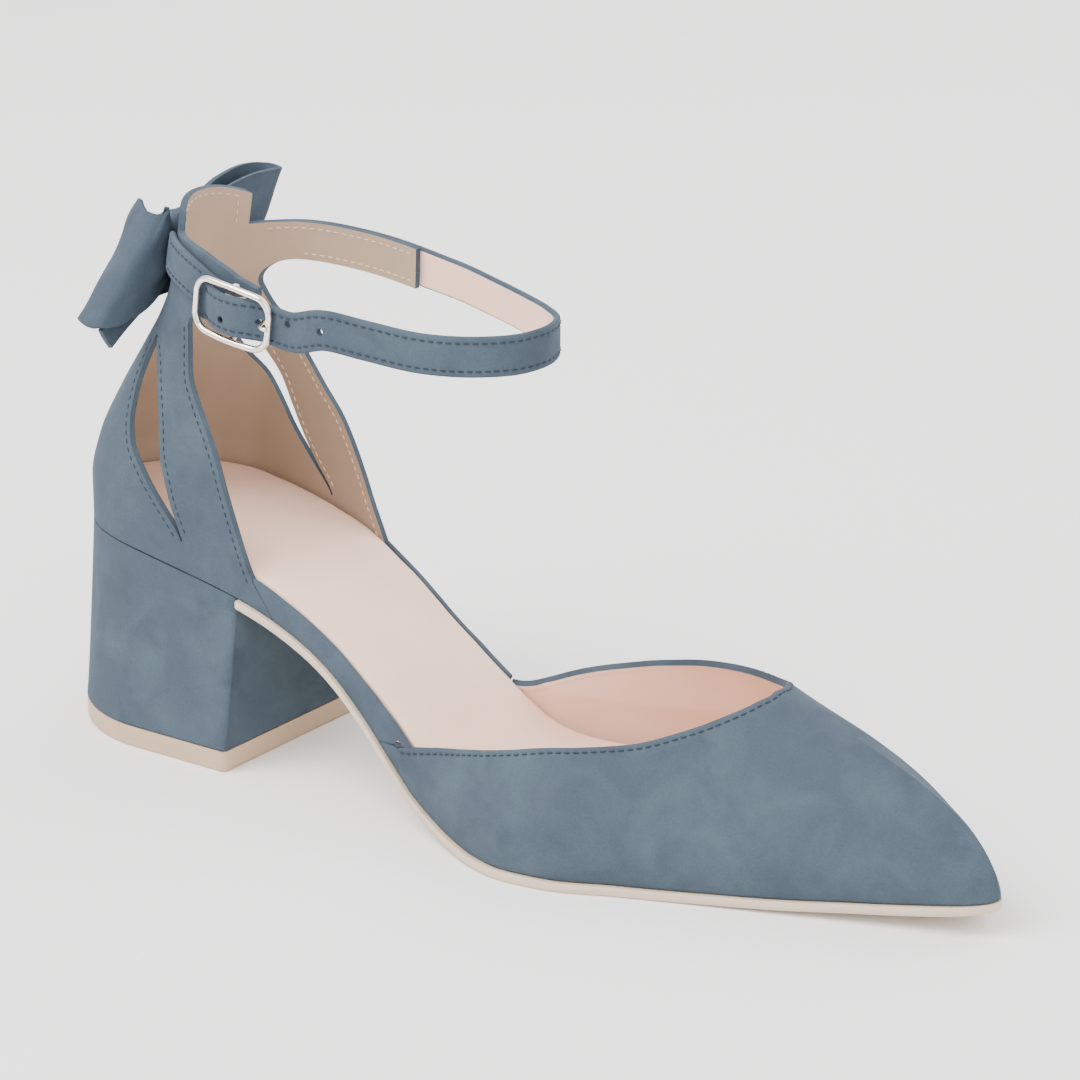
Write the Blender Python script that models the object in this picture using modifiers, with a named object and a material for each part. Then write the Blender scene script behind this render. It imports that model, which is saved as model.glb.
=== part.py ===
"""A right-foot high heel shoe: closed pointed vamp, open waist, heel counter with split side straps,
a buckled ankle strap and a ribbon bow behind, on a covered block heel.

+X points to the toe, +Y to the medial side, +Z up. The origin is on the floor, on the flat
resting face of the top lift. All sizes are in metres.
"""

import math

import bmesh
import bpy
import numpy as np
from mathutils import Vector

# Feather line: the edge where upper and sole meet, seen from above
LAST_LENGTH = 0.2490
SEAT_BACK = -0.0265
SEAT_WIDTH = 0.0530
WAIST_WIDTH = 0.0410
BALL_WIDTH = 0.0800

# Heights
SEAT_HEIGHT = 0.0510
TOE_SPRING = 0.0050
INSTEP_HEIGHT = 0.0405
TAB_HEIGHT = 0.1306
TAB_ARCH = 0.0023
BAND_HEIGHT = 0.1155

# Walls, gaps and boards
GAP = 0.0003
WALL = 0.0016
OUTSOLE_THICKNESS = 0.0022
OUTSOLE_FLANGE = 0.0012
BOARD_THICKNESS = 0.0020
BED_THICKNESS = 0.0112
SOCK_CROWN = 0.0008
RAND_WALL = 0.0014
RAND_LEAN = 0.0029
UPPER_BULGE = 0.0010

# Heel and top lift
LIFT_THICKNESS = 0.0052
LIFT_BACK = -0.0290
BREAST_X = 0.0315
LIFT_WIDTH = 0.0640
BREAST_CURVE = 0.0012
BREAST_CORNER = 0.0012

# Ankle opening and straps
ANKLE_BACK = 0.0030
ANKLE_ROUND = 0.0400
ANKLE_WIDTH = 0.0490
LOOP_FRONT = 0.1040
TAB_WIDTH = 0.0240
STRAP_WIDTH = 0.0094
STRAP_THICKNESS = 0.0016
STRAP_HOLE = 0.0017
STRAP_HOLE_PITCH = 0.0089
FOLD_THICKNESS = 0.0009

# Buckle
BUCKLE_LENGTH = 0.0238
BUCKLE_HEIGHT = 0.0134
BUCKLE_WIRE = 0.0016
BUCKLE_CORNER = 0.0038
BUCKLE_X = 0.0343
BUCKLE_SLOPE = math.radians(7.0)
BUCKLE_BULGE = 0.0005
BAR_WIRE = 0.0014
PRONG_WIRE = 0.0010

# Bow
BOW_HEIGHT = 0.1165
RIBBON_WIDTH = 0.0310
RIBBON_THICKNESS = 0.0012
LOOP_DEPTH = 0.0082
KNOT_WIDTH = 0.0105
KNOT_HEIGHT = 0.0150
KNOT_DEPTH = 0.0086
RIBBON_BELLY = 0.0016
KNOT_WALL = 0.0013

# The outsole's edge stands out less at the toe's tip: share left there, and the stretch of the
# length over which it comes back
TIP_FLANGE = 0.20
FLANGE_FADE = 0.05

# Level of the insole board's underside over the tread
TREAD = OUTSOLE_THICKNESS + GAP

# Station along the feather line, the width that the row follows, and the lateral and medial
# half-widths as shares of that width.
FEATHER = (
    (0.000, SEAT_WIDTH, 0.000, 0.000),
    (0.010, SEAT_WIDTH, 0.210, 0.210),
    (0.030, SEAT_WIDTH, 0.345, 0.345),
    (0.060, SEAT_WIDTH, 0.442, 0.442),
    (0.100, SEAT_WIDTH, 0.489, 0.484),
    (0.140, SEAT_WIDTH, 0.500, 0.474),
    (0.200, SEAT_WIDTH, 0.496, 0.431),
    (0.260, SEAT_WIDTH, 0.488, 0.382),
    (0.320, WAIST_WIDTH, 0.652, 0.400),
    (0.380, WAIST_WIDTH, 0.700, 0.319),
    (0.430, WAIST_WIDTH, 0.756, 0.312),
    (0.480, BALL_WIDTH, 0.428, 0.190),
    (0.515, BALL_WIDTH, 0.472, 0.254),
    (0.550, BALL_WIDTH, 0.517, 0.318),
    (0.585, BALL_WIDTH, 0.542, 0.382),
    (0.630, BALL_WIDTH, 0.526, 0.443),
    (0.690, BALL_WIDTH, 0.448, 0.475),
    (0.750, BALL_WIDTH, 0.374, 0.438),
    (0.820, BALL_WIDTH, 0.293, 0.335),
    (0.890, BALL_WIDTH, 0.213, 0.200),
    (0.945, BALL_WIDTH, 0.155, 0.095),
    (0.980, BALL_WIDTH, 0.113, 0.030),
    (1.000, BALL_WIDTH, 0.044, -0.044),
)

# Station, share of the rise from tread to seat, and share of the toe spring
PROFILE = (
    (0.000, 1.000, 0.00),
    (0.106, 0.945, 0.00),
    (0.190, 0.870, 0.00),
    (0.226, 0.828, 0.00),
    (0.265, 0.768, 0.00),
    (0.310, 0.682, 0.00),
    (0.350, 0.574, 0.00),
    (0.390, 0.418, 0.00),
    (0.430, 0.236, 0.00),
    (0.460, 0.116, 0.00),
    (0.490, 0.049, 0.00),
    (0.520, 0.018, 0.00),
    (0.560, 0.003, 0.00),
    (0.600, 0.000, 0.00),
    (0.700, 0.000, 0.00),
    (0.800, 0.000, 0.12),
    (0.900, 0.000, 0.48),
    (1.000, 0.000, 1.00),
)

# Station, height of the bed's top edge over the board's underside as a share of
# BED_THICKNESS, and the sock's margin inside the feather line as a share of RAND_WALL
BED = (
    (0.000, 0.540, 1.76),
    (0.130, 0.590, 1.76),
    (0.210, 0.660, 1.70),
    (0.250, 0.660, 1.40),
    (0.300, 0.616, 1.40),
    (0.325, 0.620, 1.23),
    (0.385, 0.760, 1.23),
    (0.410, 0.885, 1.38),
    (0.445, 1.000, 1.42),
    (0.465, 0.955, 1.70),
    (0.490, 0.804, 2.19),
    (0.520, 0.643, 2.49),
    (0.560, 0.554, 2.61),
    (0.620, 0.518, 2.67),
    (0.800, 0.500, 2.91),
    (1.000, 0.464, 3.40),
)

# Station, crest height of the last over the board's underside as a share of INSTEP_HEIGHT,
# the crest's shift to the medial side as a share of BALL_WIDTH, and the section's exponent
CREST = (
    (0.380, 1.200, -0.010, 2.20),
    (0.500, 1.235, -0.012, 1.95),
    (0.600, 1.215, -0.020, 1.80),
    (0.700, 1.108, -0.030, 1.68),
    (0.770, 0.964, -0.035, 1.62),
    (0.840, 0.822, -0.038, 1.68),
    (0.900, 0.656, -0.040, 1.80),
    (0.940, 0.516, -0.042, 1.90),
    (0.970, 0.370, -0.043, 2.00),
    (0.990, 0.225, -0.044, 2.00),
    (1.000, 0.000, -0.044, 2.00),
)

# The vamp's topline from its lateral corner round the throat to its medial corner: station and
# place across the last, from -1 at the lateral feather line over 0 at the crest to 1
TOPLINE = (
    (0.440, -0.915),
    (0.462, -0.840),
    (0.508, -0.738),
    (0.592, -0.618),
    (0.641, -0.568),
    (0.680, -0.520),
    (0.705, -0.463),
    (0.734, -0.360),
    (0.759, -0.198),
    (0.768, -0.055),
    (0.7665, 0.090),
    (0.7540, 0.230),
    (0.7330, 0.355),
    (0.7100, 0.430),
    (0.6790, 0.472),
    (0.618, 0.545),
    (0.560, 0.607),
    (0.506, 0.690),
    (0.438, 0.890),
)
VAMP_FOOT_LATERAL = 0.412
VAMP_FOOT_MEDIAL = 0.425

# Height over the seat as a share of the tab's rise, and how far the quarter has moved from the
# feather line towards the ankle opening
QUARTER_PROFILE = (
    (-0.30, 0.00),
    (0.00, 0.00),
    (0.12, 0.00),
    (0.25, 0.09),
    (0.40, 0.30),
    (0.55, 0.55),
    (0.65, 0.71),
    (0.73, 0.80),
    (0.85, 0.87),
    (1.05, 0.95),
)

# Height over the seat as a share of the band's rise, then places along the feather line's
# length: counter's front edge, side strap's rear edge and side strap's front edge, first on
# the lateral side and then on the medial side
SPLIT = (
    (-0.25, 0.1820, 0.1820, 0.2860, 0.2150, 0.2150, 0.2910),
    (-0.15, 0.1800, 0.1800, 0.2690, 0.2120, 0.2120, 0.2810),
    (-0.05, 0.1760, 0.1762, 0.2505, 0.2070, 0.2072, 0.2670),
    (0.05, 0.1650, 0.1678, 0.2395, 0.1930, 0.1960, 0.2530),
    (0.15, 0.1438, 0.1570, 0.2303, 0.1675, 0.1745, 0.2410),
    (0.25, 0.1225, 0.1490, 0.2212, 0.1440, 0.1560, 0.2265),
    (0.35, 0.1045, 0.1425, 0.2128, 0.1285, 0.1430, 0.2085),
    (0.45, 0.0982, 0.1402, 0.2020, 0.1140, 0.1325, 0.1835),
    (0.55, 0.0992, 0.1355, 0.1888, 0.0960, 0.1185, 0.1640),
    (0.65, 0.1045, 0.1287, 0.1765, 0.0900, 0.1115, 0.1500),
    (0.75, 0.1145, 0.1175, 0.1725, 0.1000, 0.1030, 0.1345),
    (0.88, 0.1200, 0.1200, 0.1660, 0.1050, 0.1050, 0.1280),
    (1.00, 0.1200, 0.1200, 0.1580, 0.1050, 0.1050, 0.1250),
)
HOLE_FROM = 0.03
HOLE_TO = 0.745

# Middle of the ankle band: place along the feather line's length and height as a share of
# BAND_HEIGHT, lateral and medial, and how far the quarter's edge stands over the lateral
# strap's edge as a share of STRAP_WIDTH
BAND_LINE = (
    (0.050, 1.0290, 0.9957, 0.00),
    (0.118, 1.0286, 0.9965, 0.00),
    (0.139, 1.0234, 1.0000, 0.04),
    (0.159, 1.0165, 1.0030, 0.10),
    (0.175, 1.0090, 1.0043, 0.16),
    (0.187, 1.0010, 1.0036, 0.22),
    (0.201, 0.9890, 1.0020, 0.28),
    (0.219, 0.9775, 0.9990, 0.30),
    (0.240, 0.9690, 0.9955, 0.22),
    (0.267, 0.9660, 0.9900, 0.10),
    (0.291, 0.9680, 0.9840, 0.00),
    (0.335, 0.9706, 0.9706, 0.00),
    (0.400, 0.9680, 0.9560, 0.00),
)
LATERAL_BAND_END = 0.262
MEDIAL_BAND_END = 0.300

# Free stretch of the ankle strap from the medial band's end round the front and back to the
# buckle: share of the way from the ankle's back to the loop's front, share of the ankle's
# half-width towards the lateral side, and height as a share of BAND_HEIGHT
FREE_STRAP = (
    (0.560, -0.985, 0.968),
    (0.680, -0.890, 0.954),
    (0.800, -0.700, 0.948),
    (0.900, -0.450, 0.950),
    (0.970, -0.180, 0.953),
    (1.000, 0.080, 0.952),
    (0.975, 0.400, 0.948),
    (0.900, 0.680, 0.944),
    (0.790, 0.885, 0.945),
    (0.660, 1.030, 0.959),
    (0.560, 1.110, 0.968),
)

# The strap's spare holes: distance from the prong's hole as a share of STRAP_HOLE_PITCH, and
# height over the buckle's middle as a share of STRAP_WIDTH
SPARE_HOLES = ((-1.08, -0.15), (0.85, 0.20), (1.87, 0.29))

# A bow loop's ribbon along its run from the knot over the tip and back: share of the reach,
# place across the loop as a share of LOOP_DEPTH, and the ribbon's width there as a share of
# RIBBON_WIDTH
LOOP_SHAPE = (
    (0.03, 0.15, 0.27),
    (0.17, 0.15, 0.30),
    (0.34, 0.34, 0.56),
    (0.56, 0.46, 0.80),
    (0.78, 0.47, 0.96),
    (0.92, 0.38, 1.00),
    (0.985, 0.20, 1.00),
    (1.000, 0.00, 1.00),
    (0.985, -0.20, 1.00),
    (0.92, -0.38, 1.00),
    (0.78, -0.47, 0.96),
    (0.56, -0.46, 0.80),
    (0.34, -0.34, 0.56),
    (0.17, -0.15, 0.30),
    (0.03, -0.15, 0.27),
)

# Reach of each bow loop from the knot to the middle of its tip, and the way its folded tip
# slants; then each tail's two edges from the knot down to its slanted end
LATERAL_LOOP = ((0.0015, -0.0208, -0.0020), (0.0030, 0.0200, 0.0225))
MEDIAL_LOOP = ((0.0040, 0.0240, -0.0010), (0.0040, 0.0110, 0.0270))
LATERAL_TAIL = (
    ((-0.0078, -0.0005, 0.1084), (-0.0072, -0.0005, 0.1044)),
    ((-0.0076, -0.0075, 0.1084), (-0.0069, -0.0062, 0.1044)),
    ((-0.0070, -0.0150, 0.1076), (-0.0062, -0.0121, 0.1028)),
    ((-0.0066, -0.0225, 0.1046), (-0.0060, -0.0193, 0.0994)),
    ((-0.0062, -0.0280, 0.1010), (-0.0056, -0.0252, 0.0962)),
)
MEDIAL_TAIL = (
    ((-0.0078, 0.0005, 0.1084), (-0.0072, 0.0005, 0.1044)),
    ((-0.0076, 0.0070, 0.1060), (-0.0070, 0.0055, 0.1018)),
    ((-0.0066, 0.0150, 0.1002), (-0.0062, 0.0130, 0.0958)),
    ((-0.0052, 0.0230, 0.0980), (-0.0048, 0.0205, 0.0926)),
    ((-0.0036, 0.0290, 0.0965), (-0.0032, 0.0275, 0.0910)),
)

VAMP_COLUMNS = 44
VAMP_ROWS = 11
QUARTER_COLUMNS = 44
QUARTER_ROWS = 14
SOLE_STATIONS = 56
NUDGE = 1.0e-5


def clear_scene():
    """Removes every object, so the script can run again in the same file."""
    for thing in list(bpy.data.objects):
        bpy.data.objects.remove(thing, do_unlink=True)


def collection(name, hidden=False):
    """A new collection in the scene. A hidden one holds cutters."""
    made = bpy.data.collections.new(name)
    bpy.context.scene.collection.children.link(made)
    made.hide_render = hidden
    return made


def material(name, colour, roughness, metallic=0.0):
    """A Principled material with one linear colour."""
    made = bpy.data.materials.new(name)
    made.use_nodes = True
    shader = made.node_tree.nodes["Principled BSDF"]
    shader.inputs["Base Color"].default_value = (*colour, 1.0)
    shader.inputs["Roughness"].default_value = roughness
    shader.inputs["Metallic"].default_value = metallic
    return made


def through(rows, column, at):
    """Smooth curve through one column of a table, with no overshoot: each row's slope is the
    harmonic mean of the chords on both sides."""
    table = np.asarray(rows, float)
    where, value = table[:, 0], table[:, column]
    at = np.clip(np.asarray(at, float), where[0], where[-1])
    step = np.diff(where)
    chord = np.diff(value) / step
    slope = np.concatenate([chord[:1], np.zeros(len(chord) - 1), chord[-1:]])
    before, after = chord[:-1], chord[1:]
    same_way = before * after > 0
    slope[1:-1][same_way] = (2 * before * after)[same_way] / (before + after)[same_way]
    low = np.clip(np.searchsorted(where, at, side="right") - 1, 0, len(step) - 1)
    share = (at - where[low]) / step[low]
    bend = share * share * (3 - 2 * share)
    return (
        value[low] * (1 - bend)
        + value[low + 1] * bend
        + step[low] * share * (1 - share) * (slope[low] * (1 - share) - slope[low + 1] * share)
    )


def arc_of(station):
    """Arc station of a place along the length: equal steps of it crowd at heel and toe, which
    rounds both ends of an outline that is smooth in it."""
    return np.arccos(np.clip(1 - 2 * np.asarray(station, float), -1, 1)) / math.pi


def station_of(arc):
    """Place along the length of an arc station."""
    return (1 - np.cos(np.pi * np.asarray(arc, float))) / 2


def x_of(station):
    """X of a place along the feather line's length."""
    return SEAT_BACK + LAST_LENGTH * np.asarray(station, float)


def along(x):
    """Place along the feather line's length of an X, held inside the line."""
    return np.clip((np.asarray(x, float) - SEAT_BACK) / LAST_LENGTH, 0, 1)


OUTLINE = [
    (float(arc_of(station)), width * lateral, width * medial)
    for station, width, lateral, medial in FEATHER
]


def bed_height(x):
    """Height of the insole board's underside at an X."""
    station = along(x)
    rise = through(PROFILE, 1, station) * (SEAT_HEIGHT - TREAD)
    return TREAD + rise + through(PROFILE, 2, station) * TOE_SPRING


def feather(arc, side, offset=0.0):
    """Points of the feather line seen from above, on side -1 (lateral) or 1 (medial), moved
    outwards by offset along the line's own normal."""
    arc = np.asarray(arc, float)

    def place(at):
        column = 1 if side < 0 else 2
        return x_of(station_of(at)), side * through(OUTLINE, column, at)

    early, late = np.clip(arc - NUDGE, 0, 1), np.clip(arc + NUDGE, 0, 1)
    x, y = place(arc)
    x0, y0 = place(early)
    x1, y1 = place(late)
    length = np.maximum(np.hypot(x1 - x0, y1 - y0), 1e-12)
    return x - side * offset * (y1 - y0) / length, y + side * offset * (x1 - x0) / length


def mesh_object(name, points, faces, look, where):
    """An object made of points and faces, with doubled points merged and normals set outwards."""
    shell = bmesh.new()
    corners = [shell.verts.new(Vector(point)) for point in points]
    for face in faces:
        shell.faces.new([corners[index] for index in face])
    bmesh.ops.remove_doubles(shell, verts=shell.verts, dist=2e-6)
    bmesh.ops.dissolve_degenerate(shell, edges=shell.edges, dist=1e-6)
    bmesh.ops.recalc_face_normals(shell, faces=shell.faces)
    mesh = bpy.data.meshes.new(name)
    shell.to_mesh(mesh)
    shell.free()
    made = bpy.data.objects.new(name, mesh)
    where.objects.link(made)
    if look:
        mesh.materials.append(look)
        mesh.shade_smooth()
        mesh.set_sharp_from_angle(angle=math.radians(40))
    return made


def loft(name, rings, look, where, capped=True):
    """Closed solid through rings of equal length, with flat end caps."""
    count = len(rings[0])
    points = [tuple(point) for ring in rings for point in ring]
    faces = []
    for step in range(len(rings) - 1):
        low, high = step * count, (step + 1) * count
        for index in range(count):
            after = (index + 1) % count
            faces.append((low + index, low + after, high + after, high + index))
    if capped:
        faces.append(tuple(range(count)))
        faces.append(tuple(range(len(points) - count, len(points))))
    return mesh_object(name, points, faces, look, where)


def sheet(name, grid, look, where):
    """Open surface from a grid of points."""
    rows, columns = grid.shape[:2]
    faces = [
        (
            row * columns + column,
            row * columns + column + 1,
            (row + 1) * columns + column + 1,
            (row + 1) * columns + column,
        )
        for row in range(rows - 1)
        for column in range(columns - 1)
    ]
    return mesh_object(name, grid.reshape(-1, 3), faces, look, where)


def prism(name, outline, axis, low, high, where):
    """Cutter: a closed outline in the plane across an axis, extruded along it."""

    def place(first, second, depth):
        return (depth, first, second) if axis == "X" else (first, depth, second)

    rings = [[place(a, b, depth) for a, b in outline] for depth in (low, high)]
    return cutter(loft(name, rings, None, where))


def cutter(thing):
    """Marks an object as a helper that only cuts or joins."""
    thing.hide_render = True
    thing.display_type = "WIRE"
    return thing


def cut(target, tool, operation="DIFFERENCE"):
    """Adds an exact Boolean to target."""
    boolean = target.modifiers.new(tool.name, "BOOLEAN")
    boolean.operation = operation
    boolean.solver = "EXACT"
    boolean.object = tool


def solidify(thing, thickness):
    """Gives an open surface its wall, inwards from the face it shows."""
    wall = thing.modifiers.new("Wall", "SOLIDIFY")
    wall.thickness = thickness
    wall.offset = -1.0
    wall.use_even_offset = True
    wall.use_quality_normals = True


def sole_arcs(first, last, count=SOLE_STATIONS):
    """Arc stations from one place along the length to another."""
    return np.linspace(arc_of(first), arc_of(last), count)


def make_outsole(look, where):
    """Thin flat-edged sole from the heel breast to the toe, its two faces a constant distance
    apart in height."""
    start = along(BREAST_X + GAP)
    rings = []
    for arc in sole_arcs(start, 1.0):
        flange = OUTSOLE_FLANGE * min(1.0, TIP_FLANGE + (1 - station_of(arc)) / FLANGE_FADE)
        lx, ly = feather(arc, -1, flange)
        mx, my = feather(arc, 1, flange)
        rings.append(
            [
                (lx, ly, bed_height(lx) - TREAD),
                (mx, my, bed_height(mx) - TREAD),
                (mx, my, bed_height(mx) - GAP),
                (lx, ly, bed_height(lx) - GAP),
            ]
        )
    return loft("outsole", rings, look, where)


def heel_ring(outline_shares, back, width_lateral, width_medial, front):
    """D-shaped ring seen from above: round at the back, straight along the sides, with a
    slightly hollow breast."""
    ring = []
    for angle_share, straight in outline_shares:
        angle = angle_share * math.pi / 2
        half = width_medial if angle > 0 else width_lateral
        depth = 0.5 * (width_lateral + width_medial) * 1.02
        x = back + depth * (1 - math.cos(angle)) + straight * (front - back - depth)
        ring.append((x, half * math.sin(angle)))
    return ring


HEEL_ROUND = [(step / 9, 0.0) for step in range(-9, 10)]
HEEL_LATERAL = [(-1.0, share) for share in (1.0, 0.97, 0.6, 0.3)]
HEEL_MEDIAL = [(1.0, share) for share in (0.3, 0.6, 0.97, 1.0)]


def heel_outline(level):
    """The heel's plan at a share of its height: the flared lift's plan at 0 and the seat's plan
    at 1, with the breast hollowed between its corners."""
    flare = 1 - level**0.85
    shares = HEEL_LATERAL + HEEL_ROUND + HEEL_MEDIAL
    half_seat, half_lift = SEAT_WIDTH / 2, LIFT_WIDTH / 2
    seat = heel_ring(shares, SEAT_BACK, half_seat, half_seat, BREAST_X)
    lift = heel_ring(shares, LIFT_BACK, half_lift, half_lift, BREAST_X)
    ring = []
    for (x, y), (lift_x, lift_y) in zip(seat, lift):
        y = float(feather(arc_of(along(x)), -1 if y < 0 else 1)[1]) if abs(y) > 1e-9 else 0.0
        ring.append((x + (lift_x - x) * flare, y + (lift_y - y) * flare))
    ring[0] = (ring[0][0], ring[0][1] + BREAST_CORNER)
    ring[-1] = (ring[-1][0], ring[-1][1] - BREAST_CORNER)
    return ring


def capped_pairs(count):
    """Cap faces of a ring whose point k faces point count - 1 - k."""
    return [(k, k + 1, count - 2 - k, count - 1 - k) for k in range(count // 2 - 1)]


def stack(name, rings, look, where):
    """Closed solid through rings that are each symmetric end to end, capped across by pairs so
    that a sloping top stays a ruled surface."""
    count = len(rings[0])
    points = [tuple(point) for ring in rings for point in ring]
    faces = []
    for step in range(len(rings) - 1):
        low, high = step * count, (step + 1) * count
        for index in range(count):
            after = (index + 1) % count
            faces.append((low + index, low + after, high + after, high + index))
    top = len(points) - count
    for pair in capped_pairs(count):
        faces.append(pair)
        faces.append(tuple(top + index for index in pair))
    middle = count // 2
    if count % 2:
        faces.append((middle - 1, middle, middle + 1))
        faces.append((top + middle - 1, top + middle, top + middle + 1))
    return mesh_object(name, points, faces, look, where)


def make_heel(look, where):
    """Covered block heel: flares from the seat to the lift, its top following the board."""
    rings = []
    for level in (0.0, 0.15, 0.35, 0.6, 0.8, 1.0):
        ring = []
        bottom = LIFT_THICKNESS + GAP
        for x, y in heel_outline(level):
            hollow = BREAST_CURVE * math.sin(math.pi * level) if x > BREAST_X - 1e-6 else 0.0
            top = float(bed_height(x)) - GAP
            ring.append((x - hollow, y, bottom + level * (top - bottom)))
        rings.append(ring)
    return stack("heel_block", rings, look, where)


def make_lift(look, where):
    """Top lift: the plate under the heel, flush with its cover."""
    rings = [[(x, y, z) for x, y in heel_outline(0.0)] for z in (0.0, LIFT_THICKNESS)]
    return stack("top_lift", rings, look, where)


def bed_margin(arc):
    """Distance of the sock's edge inside the feather line."""
    return through(BED, 2, station_of(arc)) * RAND_WALL


def bed_top(x):
    """Height of the bed's top edge: the sock's edge, and the rand's in the waist."""
    return bed_height(x) + through(BED, 1, along(x)) * BED_THICKNESS


def strap_edge(side, height):
    """Place along the length where the side strap's front edge passes a height over the board's
    underside."""
    column = 3 if side < 0 else 6
    places = np.linspace(0.15, 0.4, 501)
    level = bed_height(x_of(places)) + height
    edge = through(SPLIT, column, (level - SEAT_HEIGHT) / (BAND_HEIGHT - SEAT_HEIGHT))
    return float(places[np.argmin(np.abs(edge - places))])


def vamp_edge(side, height):
    """Place along the length where the vamp's rear edge passes a height over the board's
    underside."""
    station, across = TOPLINE[0] if side < 0 else TOPLINE[-1]
    corner = last_point(arc_of(station), across)
    rise = float(corner[2] - bed_height(corner[0]))
    foot = VAMP_FOOT_LATERAL if side < 0 else VAMP_FOOT_MEDIAL
    return foot + (station - foot) * height / rise


def rand(name, side, tools):
    """Covered edge of the footbed between the side strap and the vamp: a wall with a foot that
    reaches into the board, its two ends slanted like the upper's edges."""
    foot = WALL + 5 * GAP
    ledge = 0.3 * BOARD_THICKNESS / 2
    middle = float(x_of((strap_edge(side, 0.006) + vamp_edge(side, 0.006)) / 2))
    rings = []
    for share in np.linspace(0, 1, 14):
        ring = []
        for offset, height in (
            (0.0, 0.0),
            (0.0, None),
            (RAND_WALL, None),
            (RAND_WALL, BOARD_THICKNESS - ledge),
            (foot, BOARD_THICKNESS - ledge),
            (foot, ledge),
            (0.6 * RAND_WALL, 0.0),
        ):
            x = middle
            for _ in range(4):
                rise = height
                if height is None:
                    rise = float(bed_top(x) - bed_height(x)) - SOCK_CROWN / 2
                first = float(x_of(strap_edge(side, rise))) + 1.3 * GAP
                last = float(x_of(vamp_edge(side, rise))) - 2.5 * GAP - RAND_LEAN * (rise > 0.004)
                x = first + (last - first) * share
            place = along(x)
            for _ in range(3):
                px, py = feather(arc_of(place), side, -offset)
                place = place + (x - px) / LAST_LENGTH
            ring.append((px, py, float(bed_height(px)) + rise))
        rings.append(ring)
    return cutter(loft(name, rings, None, tools))


def make_board(look, where, tools):
    """Footbed: a board inside the upper's wall, with a covered rand on both sides of the waist,
    where no upper stands."""
    rings = []
    for arc in sole_arcs(0.0, 0.984, 42):
        lx, ly = feather(arc, -1, -WALL - 2 * GAP)
        mx, my = feather(arc, 1, -WALL - 2 * GAP)
        low, high = float(bed_height(lx)), float(bed_height(mx))
        thick = BOARD_THICKNESS
        rings.append([(lx, ly, low), (mx, my, high), (mx, my, high + thick), (lx, ly, low + thick)])
    board = loft("insole_board", rings, look, where)
    for side, name in ((-1, "rand_lateral"), (1, "rand_medial")):
        cut(board, rand(name, side, tools), "UNION")
    return board


def make_sock(look, where):
    """Padded sock on the board, with a slightly crowned top."""
    rings = []
    for arc in sole_arcs(0.002, 0.985, 36):
        margin = float(bed_margin(arc))
        lx, ly = feather(arc, -1, -margin)
        mx, my = feather(arc, 1, -margin)
        ring = [(lx, ly, float(bed_height(lx)) + BOARD_THICKNESS + 1.7 * GAP)]
        for share in (0.0, 0.06, 0.28, 0.5, 0.72, 0.94, 1.0):
            crown = SOCK_CROWN * (math.sin(math.pi * share) ** 0.5 - 0.5)
            x, y = lx + (mx - lx) * share, ly + (my - ly) * share
            ring.append((x, y, float(bed_top(x)) + crown))
        ring.append((mx, my, float(bed_height(mx)) + BOARD_THICKNESS + 1.7 * GAP))
        rings.append(ring)
    return loft("sock", rings, look, where)


def last_point(arc, across):
    """Points of the last's surface over the vamp: a superellipse across at each station, from -1
    at the lateral feather line over the crest at 0 to 1, with a small roll outwards over the
    feather line."""
    station = station_of(arc)
    x = x_of(station)
    lateral = through(OUTLINE, 1, arc)
    medial = through(OUTLINE, 2, arc)
    crest_arc = [(float(arc_of(row[0])), *row[1:]) for row in CREST]
    height = through(crest_arc, 1, arc) * INSTEP_HEIGHT
    shift = through(crest_arc, 2, arc) * BALL_WIDTH
    power = 2 / through(crest_arc, 3, arc)
    angle = np.abs(across) * np.pi / 2
    half = np.where(across < 0, lateral + shift, medial - shift)
    rise = height * np.maximum(np.cos(angle), 0) ** power
    roll = UPPER_BULGE * np.sin(np.pi * np.clip(rise / (0.4 * INSTEP_HEIGHT), 0, 1))
    roll = roll * np.clip(half / (0.15 * BALL_WIDTH), 0, 1)
    reach = half * np.sin(angle) ** power + roll
    y = shift + np.sign(across) * reach
    return np.stack([x + 0 * y, y, bed_height(x) + rise], axis=-1)


def topline_curve(count):
    """Arc stations and places across of the topline, spread evenly along it."""
    rows = np.array(TOPLINE)
    arcs, across = arc_of(rows[:, 0]), rows[:, 1]
    steps = np.hypot(np.diff(arcs) * 2.2, np.diff(across) * 0.6)
    run = np.concatenate([[0], np.cumsum(steps)]) / steps.sum()
    table = np.stack([run, arcs, across], axis=1)
    at = np.linspace(0, 1, count)
    return through(table, 1, at), through(table, 2, at)


def make_vamp(look, where):
    """Closed pointed vamp: one surface between the topline and the feather line, with its wall
    inwards."""
    top_arc, top_across = topline_curve(VAMP_COLUMNS + 1)
    turn = np.linspace(-1, 1, VAMP_COLUMNS + 1)
    foot = np.where(turn < 0, arc_of(VAMP_FOOT_LATERAL), arc_of(VAMP_FOOT_MEDIAL))
    foot_arc = 1 - (1 - foot) * np.abs(turn)
    foot_across = np.sign(turn)
    down = np.linspace(0, 1, VAMP_ROWS + 1)[:, None]
    arc = top_arc * (1 - down) + foot_arc * down
    across = top_across * (1 - down) + foot_across * down
    vamp = sheet("vamp", last_point(arc, across), look, where)
    solidify(vamp, WALL)
    return vamp


def quarter_share(z):
    """How far the quarter has moved from the feather line to the ankle opening at a height."""
    rise = (np.asarray(z, float) - SEAT_HEIGHT) / (TAB_HEIGHT - SEAT_HEIGHT)
    return through(QUARTER_PROFILE, 1, rise)


QUARTER_FRONT = 0.350


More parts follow.
